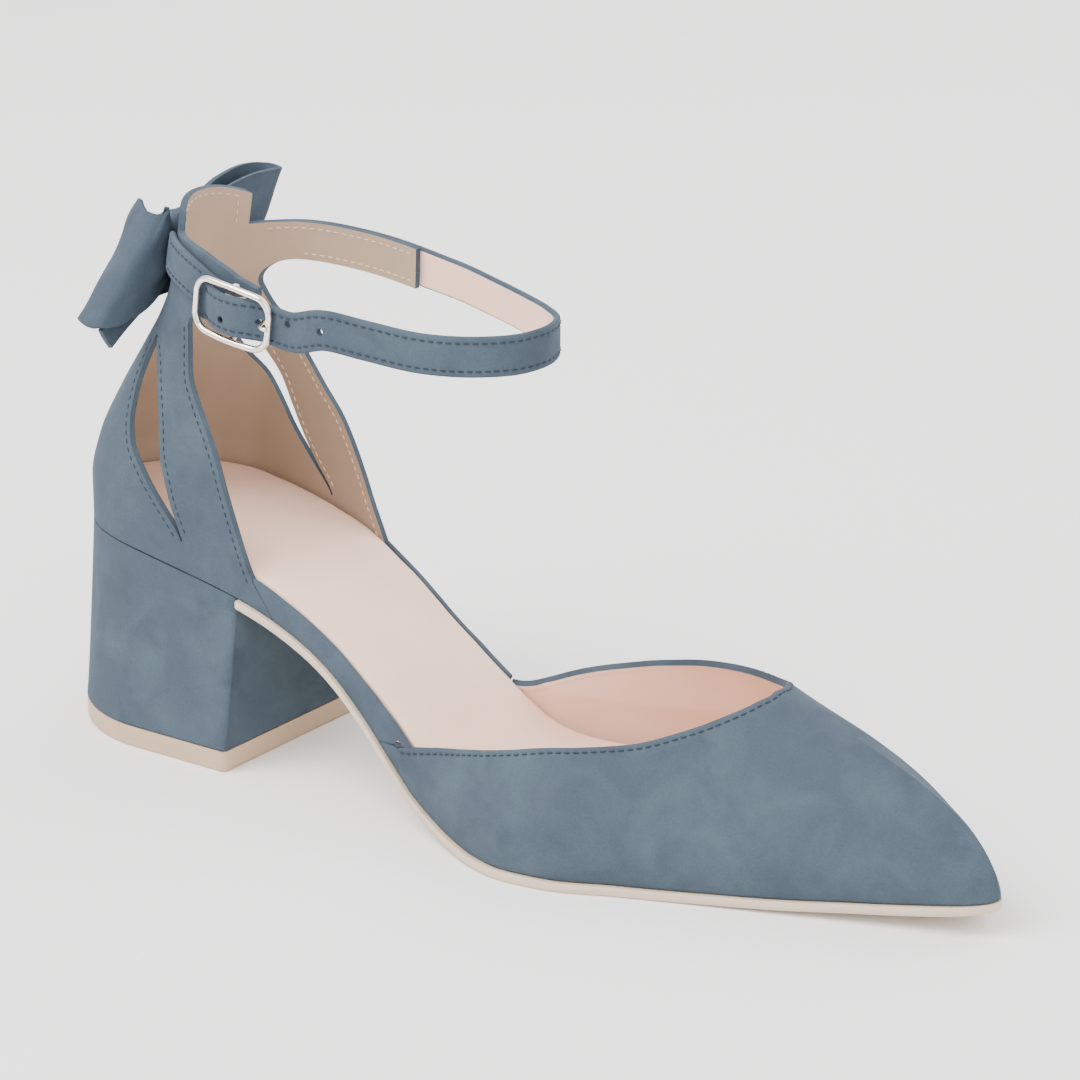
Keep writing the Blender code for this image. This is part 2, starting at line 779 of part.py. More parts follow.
def quarter_point(place, side, z, offset=0.0):
    """Points of the quarter's outer surface at a place along the length, a side and a height,
    moved outwards by offset: plan curves that go from the feather line to the ankle's oval."""
    place = np.asarray(place, float)
    step = 2e-3

    def plan(at):
        at = np.maximum(at, 0)
        bx, by = feather(arc_of(at), side)
        front = x_of(QUARTER_FRONT)
        tx = ANKLE_BACK + (front - ANKLE_BACK) * at / QUARTER_FRONT
        inside = np.clip(1 - (tx - ANKLE_BACK) / ANKLE_ROUND, 0, 1)
        ty = side * ANKLE_WIDTH / 2 * np.sqrt(1 - inside**2)
        share = quarter_share(z)
        return bx + (tx - bx) * share, by + (ty - by) * share

    x, y = plan(place)
    x1, y1 = plan(place + step)
    length = np.hypot(x1 - x, y1 - y)
    nx, ny = -side * (y1 - y) / length, side * (x1 - x) / length
    nx = np.where(place <= 1e-9, -1.0, nx)
    ny = np.where(place <= 1e-9, 0.0, ny)
    return x + nx * offset, y + ny * offset


def place_at(x, side, z):
    """Place along the length at which the quarter's surface has an X at a height."""
    places = np.linspace(0, QUARTER_FRONT, 300)
    return float(np.interp(x, quarter_point(places, side, z)[0], places))


def split_x(column, z):
    """X of one of the quarter's edges at a height."""
    return x_of(through(SPLIT, column, (z - SEAT_HEIGHT) / (BAND_HEIGHT - SEAT_HEIGHT)))


def band_z(x, side):
    """Height of the ankle band's middle at an X."""
    return through(BAND_LINE, 1 if side < 0 else 2, along(x)) * BAND_HEIGHT


def band_lip(x, side):
    """How far the quarter's edge stands over the strap's edge, as a share of STRAP_WIDTH."""
    return through(BAND_LINE, 3, along(x)) if side < 0 else 0.0


def make_quarter(look, where, tools):
    """Heel counter, side straps, back tab and the band's lined ends as one hollow shell, cut
    from one surface by outlines seen from the side."""
    halves = []
    for side in (-1, 1):
        arcs = np.linspace(0, float(arc_of(QUARTER_FRONT)), QUARTER_COLUMNS // 2 + 1)
        places = station_of(arcs)
        foot = bed_height(x_of(places))
        up = np.linspace(0, 1, QUARTER_ROWS + 1)[:, None]
        top_y = quarter_point(places, side, TAB_HEIGHT)[1]
        top = TAB_HEIGHT - TAB_ARCH * np.clip(np.abs(top_y) / (TAB_WIDTH / 2), 0, 1.2) ** 2.4
        z = foot + (top - foot) * up
        x, y = quarter_point(places + 0 * z, side, z)
        halves.append(np.stack([x, y, z], axis=-1))
    grid = np.concatenate([halves[0][:, ::-1], halves[1][:, 1:]], axis=1)
    quarter = sheet("quarter", grid, look, where)
    solidify(quarter, WALL)
    for side, name in ((-1, "lateral"), (1, "medial")):
        hole, front, crown = quarter_outlines(side)
        near, far = side * 0.002, side * 0.060
        crown_near = side * TAB_WIDTH / 2
        cut(quarter, prism(f"{name}_hole", hole, "Y", near, far, tools))
        cut(quarter, prism(f"{name}_front", front, "Y", near, far, tools))
        cut(quarter, prism(f"{name}_crown", crown, "Y", crown_near, far, tools))
    return quarter


def quarter_outlines(side):
    """Side-view outlines that the quarter is cut by: the long hole behind the side strap, all in
    front of the strap and under the band, and all above the band beside the tab."""
    base = 1 if side < 0 else 4
    rise = BAND_HEIGHT - SEAT_HEIGHT
    heights = SEAT_HEIGHT + rise * np.linspace(HOLE_FROM, HOLE_TO, 14)
    rear = [(float(split_x(base, z)), float(z)) for z in heights]
    fore = [(float(split_x(base + 1, z)), float(z)) for z in heights]
    hole = rear + fore[::-1]
    end = float(x_of(LATERAL_BAND_END if side < 0 else MEDIAL_BAND_END))
    far = float(x_of(0.55))
    low_heights = np.linspace(0.3 * SEAT_HEIGHT, SEAT_HEIGHT + 0.83 * rise, 18)
    edge = [(float(split_x(base + 2, z)), float(z)) for z in low_heights]
    corner_x, corner_z = edge[-1]

    def under(x):
        return float(band_z(x, side)) - STRAP_WIDTH / 2

    def over(x):
        return float(band_z(x, side)) + STRAP_WIDTH * (0.5 + float(band_lip(x, side)))

    reach = corner_x + 0.010
    fillet = []
    for share in (0.25, 0.5, 0.75):
        turn = share * math.pi / 2
        x = corner_x + (reach - corner_x) * (1 - math.cos(turn))
        fillet.append((x, corner_z + (under(reach) - corner_z) * math.sin(turn)))
    line = [(x, under(x)) for x in np.linspace(reach, max(end, reach + 0.002), 5)]
    front = edge + fillet + line + [(line[-1][0], TAB_HEIGHT * 1.1), (far, TAB_HEIGHT * 1.1)]
    front.append((far, 0.3 * SEAT_HEIGHT))
    xs = np.linspace(float(x_of(-0.05)), far, 12)
    crown = [(float(x), over(x)) for x in xs] + [(far, TAB_HEIGHT * 1.2), (xs[0], TAB_HEIGHT * 1.2)]
    return hole, front, crown


def sweep(name, centres, ups, width, thickness, look, where):
    """Flat strap: a rectangle carried along a path, its width along each point's up direction
    and its thickness across it. Width and thickness may change along the path."""
    centres = np.asarray(centres, float)
    ups = np.asarray(ups, float)
    tangent = np.gradient(centres, axis=0)
    tangent /= np.linalg.norm(tangent, axis=1)[:, None]
    ups = ups - tangent * np.sum(ups * tangent, axis=1)[:, None]
    ups /= np.linalg.norm(ups, axis=1)[:, None]
    out = np.cross(tangent, ups)
    half_w = np.broadcast_to(np.asarray(width) / 2, len(centres))[:, None]
    half_t = np.broadcast_to(np.asarray(thickness) / 2, len(centres))[:, None]
    corners = [(-1, -1), (1, -1), (1, 1), (-1, 1)]
    rings = np.stack([centres + a * half_w * ups + b * half_t * out for a, b in corners], axis=1)
    return loft(name, rings, look, where)


def smooth_path(points, count):
    """Even steps along one smooth curve through the points (Catmull-Rom by chord length)."""
    points = np.asarray(points, float)
    run = np.concatenate([[0], np.cumsum(np.linalg.norm(np.diff(points, axis=0), axis=1))])
    slope = np.gradient(points, run, axis=0)
    at = np.linspace(0, run[-1], count)
    low = np.clip(np.searchsorted(run, at, side="right") - 1, 0, len(run) - 2)
    step = (run[low + 1] - run[low])[:, None]
    share = ((at - run[low])[:, None]) / step
    bend = share * share * (3 - 2 * share)
    early = share * (1 - share) ** 2 * slope[low] * step
    late = share**2 * (share - 1) * slope[low + 1] * step
    return points[low] * (1 - bend) + points[low + 1] * bend + early + late


def buckle_axes():
    """The buckle's own frame: the bar's middle, the way along the strap to the toe, outwards
    from the ankle, and up across the strap."""
    z = float(band_z(BUCKLE_X, -1))
    place = place_at(BUCKLE_X, -1, z)
    x, y = quarter_point(place, -1, z)
    bar = np.array([float(x), float(y) - BAR_OUT, z])
    run = np.array([math.cos(BUCKLE_SLOPE), 0.0, -math.sin(BUCKLE_SLOPE)])
    out = np.array([0.0, -1.0, 0.0])
    up = np.cross(out, run)
    return bar, run, out, up


def on_buckle(run, out, up=0.0):
    """A point in the buckle's own frame, as world coordinates."""
    bar, along_strap, outwards, upwards = buckle_axes()
    return bar + run * along_strap + out * outwards + up * upwards


FOLD_RADIUS = BAR_WIRE / 2 + GAP + FOLD_THICKNESS / 2
BAR_OUT = GAP + FOLD_THICKNESS / 2 + FOLD_RADIUS
STRAP_OVER_FOLD = FOLD_RADIUS + FOLD_THICKNESS / 2 + GAP + STRAP_THICKNESS / 2
FRAME_FRONT_OUT = 0.0024
FRAME_MIDDLE_OUT = 0.0026
FRAME_REAR_OUT = 0.0010


def band_route(side, first, last, count, layer):
    """Middle of a strap that lies on the quarter from one X to another, with the up direction of
    the surface there. layer is the strap's middle over the quarter's surface."""
    centres, ups = [], []
    for x in np.linspace(first, last, count):
        z = float(band_z(x, side))
        place = place_at(x, side, z)
        low = quarter_point(place, side, z - STRAP_WIDTH / 2, layer)
        high = quarter_point(place, side, z + STRAP_WIDTH / 2, layer)
        middle = quarter_point(place, side, z, layer)
        centres.append((float(middle[0]), float(middle[1]), z))
        ups.append((float(high[0] - low[0]), float(high[1] - low[1]), STRAP_WIDTH))
    return centres, ups


def make_buckle_strap(look, where, tools):
    """Short strap from under the bow, thinned and folded round the buckle's bar, with a slot for
    the prong."""
    start = ANKLE_BACK + 0.0015
    thin = BUCKLE_X - BUCKLE_LENGTH / 2
    places = np.linspace(start, BUCKLE_X - 0.003, 15)
    share = np.clip((places - thin + 0.004) / 0.006, 0, 1)
    thick = list(STRAP_THICKNESS + (FOLD_THICKNESS - STRAP_THICKNESS) * share)
    centres, ups = [], []
    for x, thickness in zip(places, thick):
        centre, up = band_route(-1, x, x, 1, GAP + thickness / 2)
        centres += centre
        ups += up
    fold = []
    for turn in np.linspace(-math.pi / 2, math.pi / 2, 9):
        fold.append(on_buckle(FOLD_RADIUS * math.cos(turn), FOLD_RADIUS * math.sin(turn)))
    for back in (0.0010, 0.0022):
        fold.append(on_buckle(-back, FOLD_RADIUS))
    path = np.array(centres + [tuple(point) for point in fold])
    ways = np.array(ups + [tuple(buckle_axes()[3])] * len(fold))
    thick = np.array(thick + [FOLD_THICKNESS] * len(fold))
    strap = sweep("buckle_strap", path, ways, STRAP_WIDTH, thick, look, where)
    slot = PRONG_WIRE + 4 * GAP
    reach = FOLD_RADIUS * 2.6
    ring = [(-0.0032, -reach), (reach, -reach), (reach, reach), (-0.0032, reach)]
    rings = [[tuple(on_buckle(a, b, h)) for a, b in ring] for h in (-slot / 2, slot / 2)]
    cut(strap, cutter(loft("prong_slot", rings, None, tools)))
    return strap


def ankle_strap_path():
    """Middle line and up directions of the ankle strap: from under the bow along the medial
    band, free round the front, through the buckle and on to its free end."""
    layer = GAP + STRAP_THICKNESS / 2
    medial_end = float(x_of(MEDIAL_BAND_END)) + 0.002
    centres, ups = band_route(1, ANKLE_BACK + 0.0015, medial_end, 16, layer)
    span = LOOP_FRONT - ANKLE_BACK
    half = ANKLE_WIDTH / 2
    free = [centres[-2], centres[-1]]
    for share, across, height in FREE_STRAP:
        x = ANKLE_BACK + share * span - STRAP_THICKNESS / 2 * (share > 0.99)
        free.append((x, -across * half, height * BAND_HEIGHT))
    under = BUCKLE_WIRE / 2 + GAP + STRAP_THICKNESS / 2
    front, rear = FRAME_FRONT_OUT - under, FRAME_REAR_OUT - under
    half_l = (BUCKLE_LENGTH - BUCKLE_WIRE) / 2
    through_buckle = [
        (half_l + 0.0050, front),
        (half_l, front),
        (half_l * 0.68, front),
        (half_l * 0.40, 0.45 * front + 0.55 * STRAP_OVER_FOLD),
        (FOLD_RADIUS * 1.3, STRAP_OVER_FOLD),
        (-FOLD_RADIUS * 1.8, STRAP_OVER_FOLD),
        (-half_l * 0.55, 0.4 * rear + 0.6 * STRAP_OVER_FOLD),
        (-half_l * 0.82, rear + 0.0002),
        (-half_l, rear),
        (-half_l - 0.0014, rear - 0.0001),
    ]
    free += [tuple(on_buckle(run, out)) for run, out in through_buckle]
    route = smooth_path(free, 66)[3:]
    path = np.concatenate([centres[:-1], route])
    ways = np.concatenate([ups[:-1], np.tile([0.0, 0.0, STRAP_WIDTH], (len(route), 1))])
    return path, ways


def make_ankle_strap(look, where, tools):
    """Ankle strap with its punched holes."""
    path, ways = ankle_strap_path()
    width = np.full(len(path), STRAP_WIDTH)
    width[-1] *= 0.55
    width[-2] *= 0.93
    strap = sweep("ankle_strap", path, ways, width, STRAP_THICKNESS, look, where)
    cut(strap, hole_cutter("prong_hole", prong_hole(), 0.0, 0.0030, tools))
    for number, (run, up) in enumerate(SPARE_HOLES):
        place = prong_hole() + run * STRAP_HOLE_PITCH
        cut(strap, hole_cutter(f"spare_hole_{number}", place, up * STRAP_WIDTH, STRAP_HOLE, tools))
    return strap


def prong_hole():
    """Distance of the prong's hole from the bar."""
    return (BUCKLE_LENGTH - BUCKLE_WIRE) / 2 - 0.0030


def hole_cutter(name, run, up, long, tools):
    """Cutter through the strap at a distance from the buckle's bar: round, or drawn long where
    the prong pulls."""
    rings = []
    for depth in (-0.0042, 0.0075):
        ring = []
        for step in range(10):
            turn = 2 * math.pi * step / 10
            along_strap = run + long / 2 * math.cos(turn)
            ring.append(tuple(on_buckle(along_strap, depth, up + STRAP_HOLE / 2 * math.sin(turn))))
        rings.append(ring)
    return cutter(loft(name, rings, None, tools))


def tube(name, points, radius, sides, look, where, closed=False):
    """Round wire along a path, closed on itself or capped."""
    points = np.asarray(points, float)
    count = len(points)
    if closed:
        tangent = np.roll(points, -1, axis=0) - np.roll(points, 1, axis=0)
    else:
        tangent = np.gradient(points, axis=0)
    tangent /= np.linalg.norm(tangent, axis=1)[:, None]
    outwards = np.tile(buckle_axes()[2], (count, 1))
    first = np.cross(tangent, outwards)
    weak = np.linalg.norm(first, axis=1) < 0.2
    first[weak] = np.cross(tangent[weak], buckle_axes()[1])
    first /= np.linalg.norm(first, axis=1)[:, None]
    second = np.cross(tangent, first)
    turns = np.arange(sides) * 2 * math.pi / sides
    rings = [
        [points[k] + radius * (math.cos(t) * first[k] + math.sin(t) * second[k]) for t in turns]
        for k in range(count)
    ]
    if closed:
        rings.append(rings[0])
    return loft(name, rings, look, where, capped=not closed)


def frame_out(run):
    """How far outwards the buckle's frame lies at a distance from the bar."""
    share = run / ((BUCKLE_LENGTH - BUCKLE_WIRE) / 2)
    lean = (FRAME_FRONT_OUT - FRAME_REAR_OUT) / 2
    bow = (FRAME_FRONT_OUT + FRAME_REAR_OUT) / 2 - FRAME_MIDDLE_OUT
    return FRAME_MIDDLE_OUT + lean * share + bow * share**2


def make_buckle_frame(look, where, tools):
    """Rounded rectangle of wire with a bar across its middle, set in towards the ankle."""
    half_l = (BUCKLE_LENGTH - BUCKLE_WIRE) / 2
    half_h = (BUCKLE_HEIGHT - BUCKLE_WIRE) / 2
    points = []
    middle = half_h + BUCKLE_BULGE
    corners = ((1, 1, 0), (-1, 1, 90), (-1, -1, 180), (1, -1, 270))
    for sign_l, sign_h, first in corners:
        for step in range(6):
            turn = math.radians(first + 18 * step)
            run = sign_l * (half_l - BUCKLE_CORNER) + BUCKLE_CORNER * math.cos(turn)
            up = sign_h * (half_h - BUCKLE_CORNER) + BUCKLE_CORNER * math.sin(turn)
            up *= 1 + BUCKLE_BULGE / half_h * max(0.0, 1 - (run / half_l) ** 2)
            points.append(on_buckle(run, frame_out(run), up))
        if sign_l == sign_h:
            points.append(on_buckle(0.0, frame_out(0.0), sign_h * middle))
    frame = tube("buckle_frame", points, BUCKLE_WIRE / 2, 8, look, where, closed=True)
    rail = frame_out(0.0)
    bar = []
    for sign in (1, -1):
        leg = [
            (middle, rail),
            (middle, 0.45 * rail),
            (middle - 0.0003, 0.18 * rail),
            (middle - 0.0011, 0.0),
        ]
        bar += [on_buckle(0, out, sign * up) for up, out in leg[::sign]]
    cut(frame, cutter(tube("bar", bar, BAR_WIRE / 2, 8, None, tools)), "UNION")
    return frame


def make_prong(look, where):
    """Prong: hooked round the bar, out through the strap's hole and over the front rail."""
    hook = BAR_WIRE / 2 + GAP + PRONG_WIRE / 2
    half_l = (BUCKLE_LENGTH - BUCKLE_WIRE) / 2
    points = []
    for degrees in (-50, -85, -120, -155, -190, -225, -255):
        turn = math.radians(degrees)
        points.append(on_buckle(hook * math.cos(turn), hook * math.sin(turn)))
    over = FRAME_FRONT_OUT + BUCKLE_WIRE / 2 + GAP + PRONG_WIRE / 2
    hole = prong_hole()
    strap = FRAME_FRONT_OUT - BUCKLE_WIRE / 2 - GAP - STRAP_THICKNESS / 2
    for run, out in (
        (0.0008, hook - 0.0001),
        (0.0026, 0.0007),
        (0.0044, strap - 0.0010),
        (0.0060, strap - 0.0016),
        (hole - 0.0011, strap - 0.0016),
        (hole - 0.0003, strap - 0.0006),
        (hole + 0.0004, strap + 0.0009),
        (hole + 0.0013, over - 0.0008),
        (half_l, over),
        (half_l + 0.0010, over + 0.0001),
    ):
        points.append(on_buckle(run, out))
    path = smooth_path(points, 34)
    return tube("buckle_prong", path, PRONG_WIRE / 2, 6, look, where)


def knot_centre():
    """Middle of the bow's knot. Its lower part lies against the quarter's leaning back."""
    x = float(quarter_point(0.0, 1, BOW_HEIGHT - 0.22 * KNOT_HEIGHT)[0])
    return np.array([x - GAP - KNOT_DEPTH / 2, 0.0, BOW_HEIGHT])


def make_bow_loop(name, reach, slant, look, where):
    """One bow loop: a ribbon that leaves the knot, turns at its tip and comes back behind
    itself, open along both edges. reach leads from the knot to the tip's middle, slant along
    the tip's fold."""
    side = math.copysign(1.0, reach[1])
    centre = knot_centre() + np.array([0.0, side * 0.0012, 0.0])
    reach = np.array(reach)
    fold = np.array(slant) / np.linalg.norm(slant)
    upright = np.array([0.0, 0.0, 1.0])
    grid = []
    table = [(step, *row) for step, row in enumerate(LOOP_SHAPE)]
    for step in np.linspace(0, len(table) - 1, 31):
        share, depth, width = (float(through(table, column, step)) for column in (1, 2, 3))
        lean = min(1.0, max(0.0, (share - 0.22) * 1.4))
        up = upright * (1 - lean) + fold * lean
        up /= np.linalg.norm(up)
        face = np.cross(up, reach)
        face *= math.copysign(1.0, face[0]) / np.linalg.norm(face)
        middle = centre + reach * np.array([share**2.5, share, share**1.5])
        row = []
        for across in np.linspace(-1, 1, 5):
            belly = RIBBON_BELLY * (1 - across**2) * math.sin(math.pi * share) ** 3
            out = depth * LOOP_DEPTH + math.copysign(belly, depth)
            row.append(middle + up * (across * width * RIBBON_WIDTH / 2) + face * out)
        grid.append(row)
    loop = sheet(name, np.array(grid), look, where)
    solidify(loop, RIBBON_THICKNESS)
    loop.modifiers["Wall"].offset = 0.0
    return loop


def make_bow_tail(name, steps, look, where):
    """One flat tail with a slanted end. Each step gives the tail's two edges."""
    table = [(number, *first, *second) for number, (first, second) in enumerate(steps)]
    grid = []
    for at in np.linspace(0, len(steps) - 1, 9):
        values = [float(through(table, column, at)) for column in range(1, 7)]
        first, second = np.array(values[:3]), np.array(values[3:])
        grid.append([first + (second - first) * across for across in np.linspace(0, 1, 4)])
    tail = sheet(name, np.array(grid), look, where)
    solidify(tail, RIBBON_THICKNESS)
    tail.modifiers["Wall"].offset = 0.0
    return tail


def make_knot(look, where):
    """Knot: a band wrapped round the pinched middle of the bow, hollow where the loops enter."""
    centre = knot_centre()
    rings = []
    sides = 16
    for level in (-1.0, -0.8, 0.8, 1.0):
        outer, inner = [], []
        swell = 1.0 if abs(level) < 0.9 else 0.88
        for step in range(sides):
            turn = 2 * math.pi * step / sides
            across, up = math.cos(turn), math.sin(turn)
            y = level * KNOT_WIDTH / 2
            for ring, inset, power in ((outer, 0.0, 0.7), (inner, KNOT_WALL, 0.5)):
                px = math.copysign(abs(across) ** power, across)
                pz = math.copysign(abs(up) ** power, up)
                round_off = swell if ring is outer else 1.0
                depth, height = KNOT_DEPTH / 2 - inset, KNOT_HEIGHT / 2 - inset
                ring.append((depth * px * round_off, y, height * pz * round_off))
        rings.append((outer, inner))
    points, faces = [], []
    for outer, inner in rings:
        points += [centre + np.array(point) for point in outer + inner]
    block = 2 * sides
    for step in range(sides):
        after = (step + 1) % sides
        for row in range(len(rings) - 1):
            low, high = row * block, (row + 1) * block
            faces.append((low + step, low + after, high + after, high + step))
            low, high = low + sides, high + sides
            faces.append((low + step, high + step, high + after, low + after))
        for row in (0, len(rings) - 1):
            start = row * block
            faces.append((start + step, start + sides + step, start + sides + after, start + after))
    return mesh_object("bow_knot", points, faces, look, where)


def main():
    """Builds the shoe."""
    clear_scene()
    shoe = collection("high_heel_shoe")
    tools = collection("cutters", hidden=True)
    suede = material("blue_suede", (0.125, 0.200, 0.262), 0.90)
    edge = material("beige_sole", (0.570, 0.470, 0.360), 0.60)
    lining = material("pink_lining", (0.820, 0.620, 0.520), 0.55)
    metal = material("pale_gold", (0.860, 0.760, 0.690), 0.22, 1.0)
    make_outsole(edge, shoe)
    make_lift(edge, shoe)
    make_heel(suede, shoe)
    make_board(suede, shoe, tools)
    make_sock(lining, shoe)
    make_vamp(suede, shoe)
    make_quarter(suede, shoe, tools)
    make_ankle_strap(suede, shoe, tools)
    make_buckle_strap(suede, shoe, tools)
    make_buckle_frame(metal, shoe, tools)
    make_prong(metal, shoe)
    make_bow_loop("bow_loop_lateral", LATERAL_LOOP[0], LATERAL_LOOP[1], suede, shoe)
    make_bow_loop("bow_loop_medial", MEDIAL_LOOP[0], MEDIAL_LOOP[1], suede, shoe)
    make_bow_tail("bow_tail_lateral", LATERAL_TAIL, suede, shoe)
    make_bow_tail("bow_tail_medial", MEDIAL_TAIL, suede, shoe)
    make_knot(suede, shoe)


main()
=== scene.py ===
import math

import bmesh
import bpy
import numpy as np
from bpy.props import FloatProperty, FloatVectorProperty, PointerProperty
from mathutils import Matrix, Vector


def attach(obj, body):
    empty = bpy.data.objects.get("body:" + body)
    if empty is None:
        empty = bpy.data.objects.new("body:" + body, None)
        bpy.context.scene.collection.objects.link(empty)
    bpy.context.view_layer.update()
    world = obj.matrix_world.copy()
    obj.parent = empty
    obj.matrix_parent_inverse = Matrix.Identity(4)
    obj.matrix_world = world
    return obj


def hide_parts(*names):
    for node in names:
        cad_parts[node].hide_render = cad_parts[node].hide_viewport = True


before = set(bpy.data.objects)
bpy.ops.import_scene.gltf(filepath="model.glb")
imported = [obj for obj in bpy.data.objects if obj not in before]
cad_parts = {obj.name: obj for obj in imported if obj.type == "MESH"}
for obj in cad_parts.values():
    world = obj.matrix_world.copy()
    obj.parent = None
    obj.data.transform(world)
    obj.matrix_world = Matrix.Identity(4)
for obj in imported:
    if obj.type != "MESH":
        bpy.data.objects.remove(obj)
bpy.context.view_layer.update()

# A right-foot high heel shoe in suede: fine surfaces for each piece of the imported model, in metres.
# +X points to the toe, +Y to the medial side, +Z up.

bl_info = {
    "name": "High heel shoe",
    "version": (1, 0, 0),
    "blender": (4, 5, 0),
    "location": "View3D > Sidebar > Shoe",
    "description": "Models one suede shoe with a block heel, an ankle strap and a bow",
    "category": "Add Mesh",
}

# Station along the feather line, the width that the row follows, and the lateral and medial
# half-widths as shares of that width.
FEATHER = (
    (0.000, "seat_width", 0.000, 0.000),
    (0.010, "seat_width", 0.210, 0.210),
    (0.030, "seat_width", 0.345, 0.345),
    (0.060, "seat_width", 0.442, 0.442),
    (0.100, "seat_width", 0.489, 0.484),
    (0.140, "seat_width", 0.500, 0.474),
    (0.200, "seat_width", 0.496, 0.431),
    (0.260, "seat_width", 0.488, 0.382),
    (0.320, "waist_width", 0.652, 0.400),
    (0.380, "waist_width", 0.700, 0.319),
    (0.430, "waist_width", 0.756, 0.312),
    (0.480, "ball_width", 0.428, 0.190),
    (0.515, "ball_width", 0.472, 0.254),
    (0.550, "ball_width", 0.517, 0.318),
    (0.585, "ball_width", 0.542, 0.382),
    (0.630, "ball_width", 0.526, 0.443),
    (0.690, "ball_width", 0.448, 0.475),
    (0.750, "ball_width", 0.374, 0.438),
    (0.820, "ball_width", 0.293, 0.335),
    (0.890, "ball_width", 0.213, 0.200),
    (0.945, "ball_width", 0.155, 0.095),
    (0.980, "ball_width", 0.113, 0.030),
    (1.000, "ball_width", 0.044, -0.044),
)

# Station, share of the rise from tread to seat, and share of the toe spring
PROFILE = (
    (0.000, 1.000, 0.00),
    (0.106, 0.945, 0.00),
    (0.190, 0.870, 0.00),
    (0.226, 0.828, 0.00),
    (0.265, 0.768, 0.00),
    (0.310, 0.682, 0.00),
    (0.350, 0.574, 0.00),
    (0.390, 0.418, 0.00),
    (0.430, 0.236, 0.00),
    (0.460, 0.116, 0.00),
    (0.490, 0.049, 0.00),
    (0.520, 0.018, 0.00),
    (0.560, 0.003, 0.00),
    (0.600, 0.000, 0.00),
    (0.700, 0.000, 0.00),
    (0.800, 0.000, 0.12),
    (0.900, 0.000, 0.48),
    (1.000, 0.000, 1.00),
)

# Station, height of the bed's top edge over the board's underside as a share of
# BED_THICKNESS, and the sock's margin inside the feather line as a share of RAND_WALL
BED = (
    (0.000, 0.540, 1.76),
    (0.130, 0.590, 1.76),
    (0.210, 0.660, 1.70),
    (0.250, 0.660, 1.40),
    (0.300, 0.616, 1.40),
    (0.325, 0.620, 1.23),
    (0.385, 0.760, 1.23),
    (0.410, 0.885, 1.38),
    (0.445, 1.000, 1.42),
    (0.465, 0.955, 1.70),
    (0.490, 0.804, 2.19),
    (0.520, 0.643, 2.49),
    (0.560, 0.554, 2.61),
    (0.620, 0.518, 2.67),
    (0.800, 0.500, 2.91),
    (1.000, 0.464, 3.40),
)

# Station, crest height of the last over the board's underside as a share of INSTEP_HEIGHT,
# the crest's shift to the medial side as a share of BALL_WIDTH, and the section's exponent
CREST = (
    (0.380, 1.200, -0.010, 2.20),
    (0.500, 1.235, -0.012, 1.95),
    (0.600, 1.215, -0.020, 1.80),
    (0.700, 1.108, -0.030, 1.68),
    (0.770, 0.964, -0.035, 1.62),
    (0.840, 0.822, -0.038, 1.68),
    (0.900, 0.656, -0.040, 1.80),
    (0.940, 0.516, -0.042, 1.90),
    (0.970, 0.370, -0.043, 2.00),
    (0.990, 0.225, -0.044, 2.00),
    (1.000, 0.000, -0.044, 2.00),
)

# The vamp's topline from its lateral corner round the throat to its medial corner: station and
# place across the last, from -1 at the lateral feather line over 0 at the crest to 1
TOPLINE = (
    (0.440, -0.915),
    (0.462, -0.840),
    (0.508, -0.738),
    (0.592, -0.618),
    (0.641, -0.568),
    (0.680, -0.520),
    (0.705, -0.463),
    (0.734, -0.360),
    (0.759, -0.198),
    (0.768, -0.055),
    (0.7665, 0.090),
    (0.7540, 0.230),
    (0.7330, 0.355),
    (0.7100, 0.430),
    (0.6790, 0.472),
    (0.618, 0.545),
    (0.560, 0.607),
    (0.506, 0.690),
    (0.438, 0.890),
)

VAMP_FOOT_LATERAL = 0.412
VAMP_FOOT_MEDIAL = 0.425
# Height over the seat as a share of the tab's rise, and how far the quarter has moved from the
# feather line towards the ankle opening
QUARTER_PROFILE = (
    (-0.30, 0.00),
    (0.00, 0.00),
    (0.12, 0.00),
    (0.25, 0.09),
    (0.40, 0.30),
    (0.55, 0.55),
    (0.65, 0.71),
    (0.73, 0.80),
    (0.85, 0.87),
    (1.05, 0.95),
)

# Height over the seat as a share of the band's rise, then places along the feather line's
# length: counter's front edge, side strap's rear edge and side strap's front edge, first on
# the lateral side and then on the medial side
SPLIT = (
    (-0.25, 0.1820, 0.1820, 0.2860, 0.2150, 0.2150, 0.2910),
    (-0.15, 0.1800, 0.1800, 0.2690, 0.2120, 0.2120, 0.2810),
    (-0.05, 0.1760, 0.1762, 0.2505, 0.2070, 0.2072, 0.2670),
    (0.05, 0.1650, 0.1678, 0.2395, 0.1930, 0.1960, 0.2530),
    (0.15, 0.1438, 0.1570, 0.2303, 0.1675, 0.1745, 0.2410),
    (0.25, 0.1225, 0.1490, 0.2212, 0.1440, 0.1560, 0.2265),
    (0.35, 0.1045, 0.1425, 0.2128, 0.1285, 0.1430, 0.2085),
    (0.45, 0.0982, 0.1402, 0.2020, 0.1140, 0.1325, 0.1835),
    (0.55, 0.0992, 0.1355, 0.1888, 0.0960, 0.1185, 0.1640),
    (0.65, 0.1045, 0.1287, 0.1765, 0.0900, 0.1115, 0.1500),
    (0.75, 0.1145, 0.1175, 0.1725, 0.1000, 0.1030, 0.1345),
    (0.88, 0.1200, 0.1200, 0.1660, 0.1050, 0.1050, 0.1280),
    (1.00, 0.1200, 0.1200, 0.1580, 0.1050, 0.1050, 0.1250),
)

HOLE_FROM = 0.03
HOLE_TO = 0.745
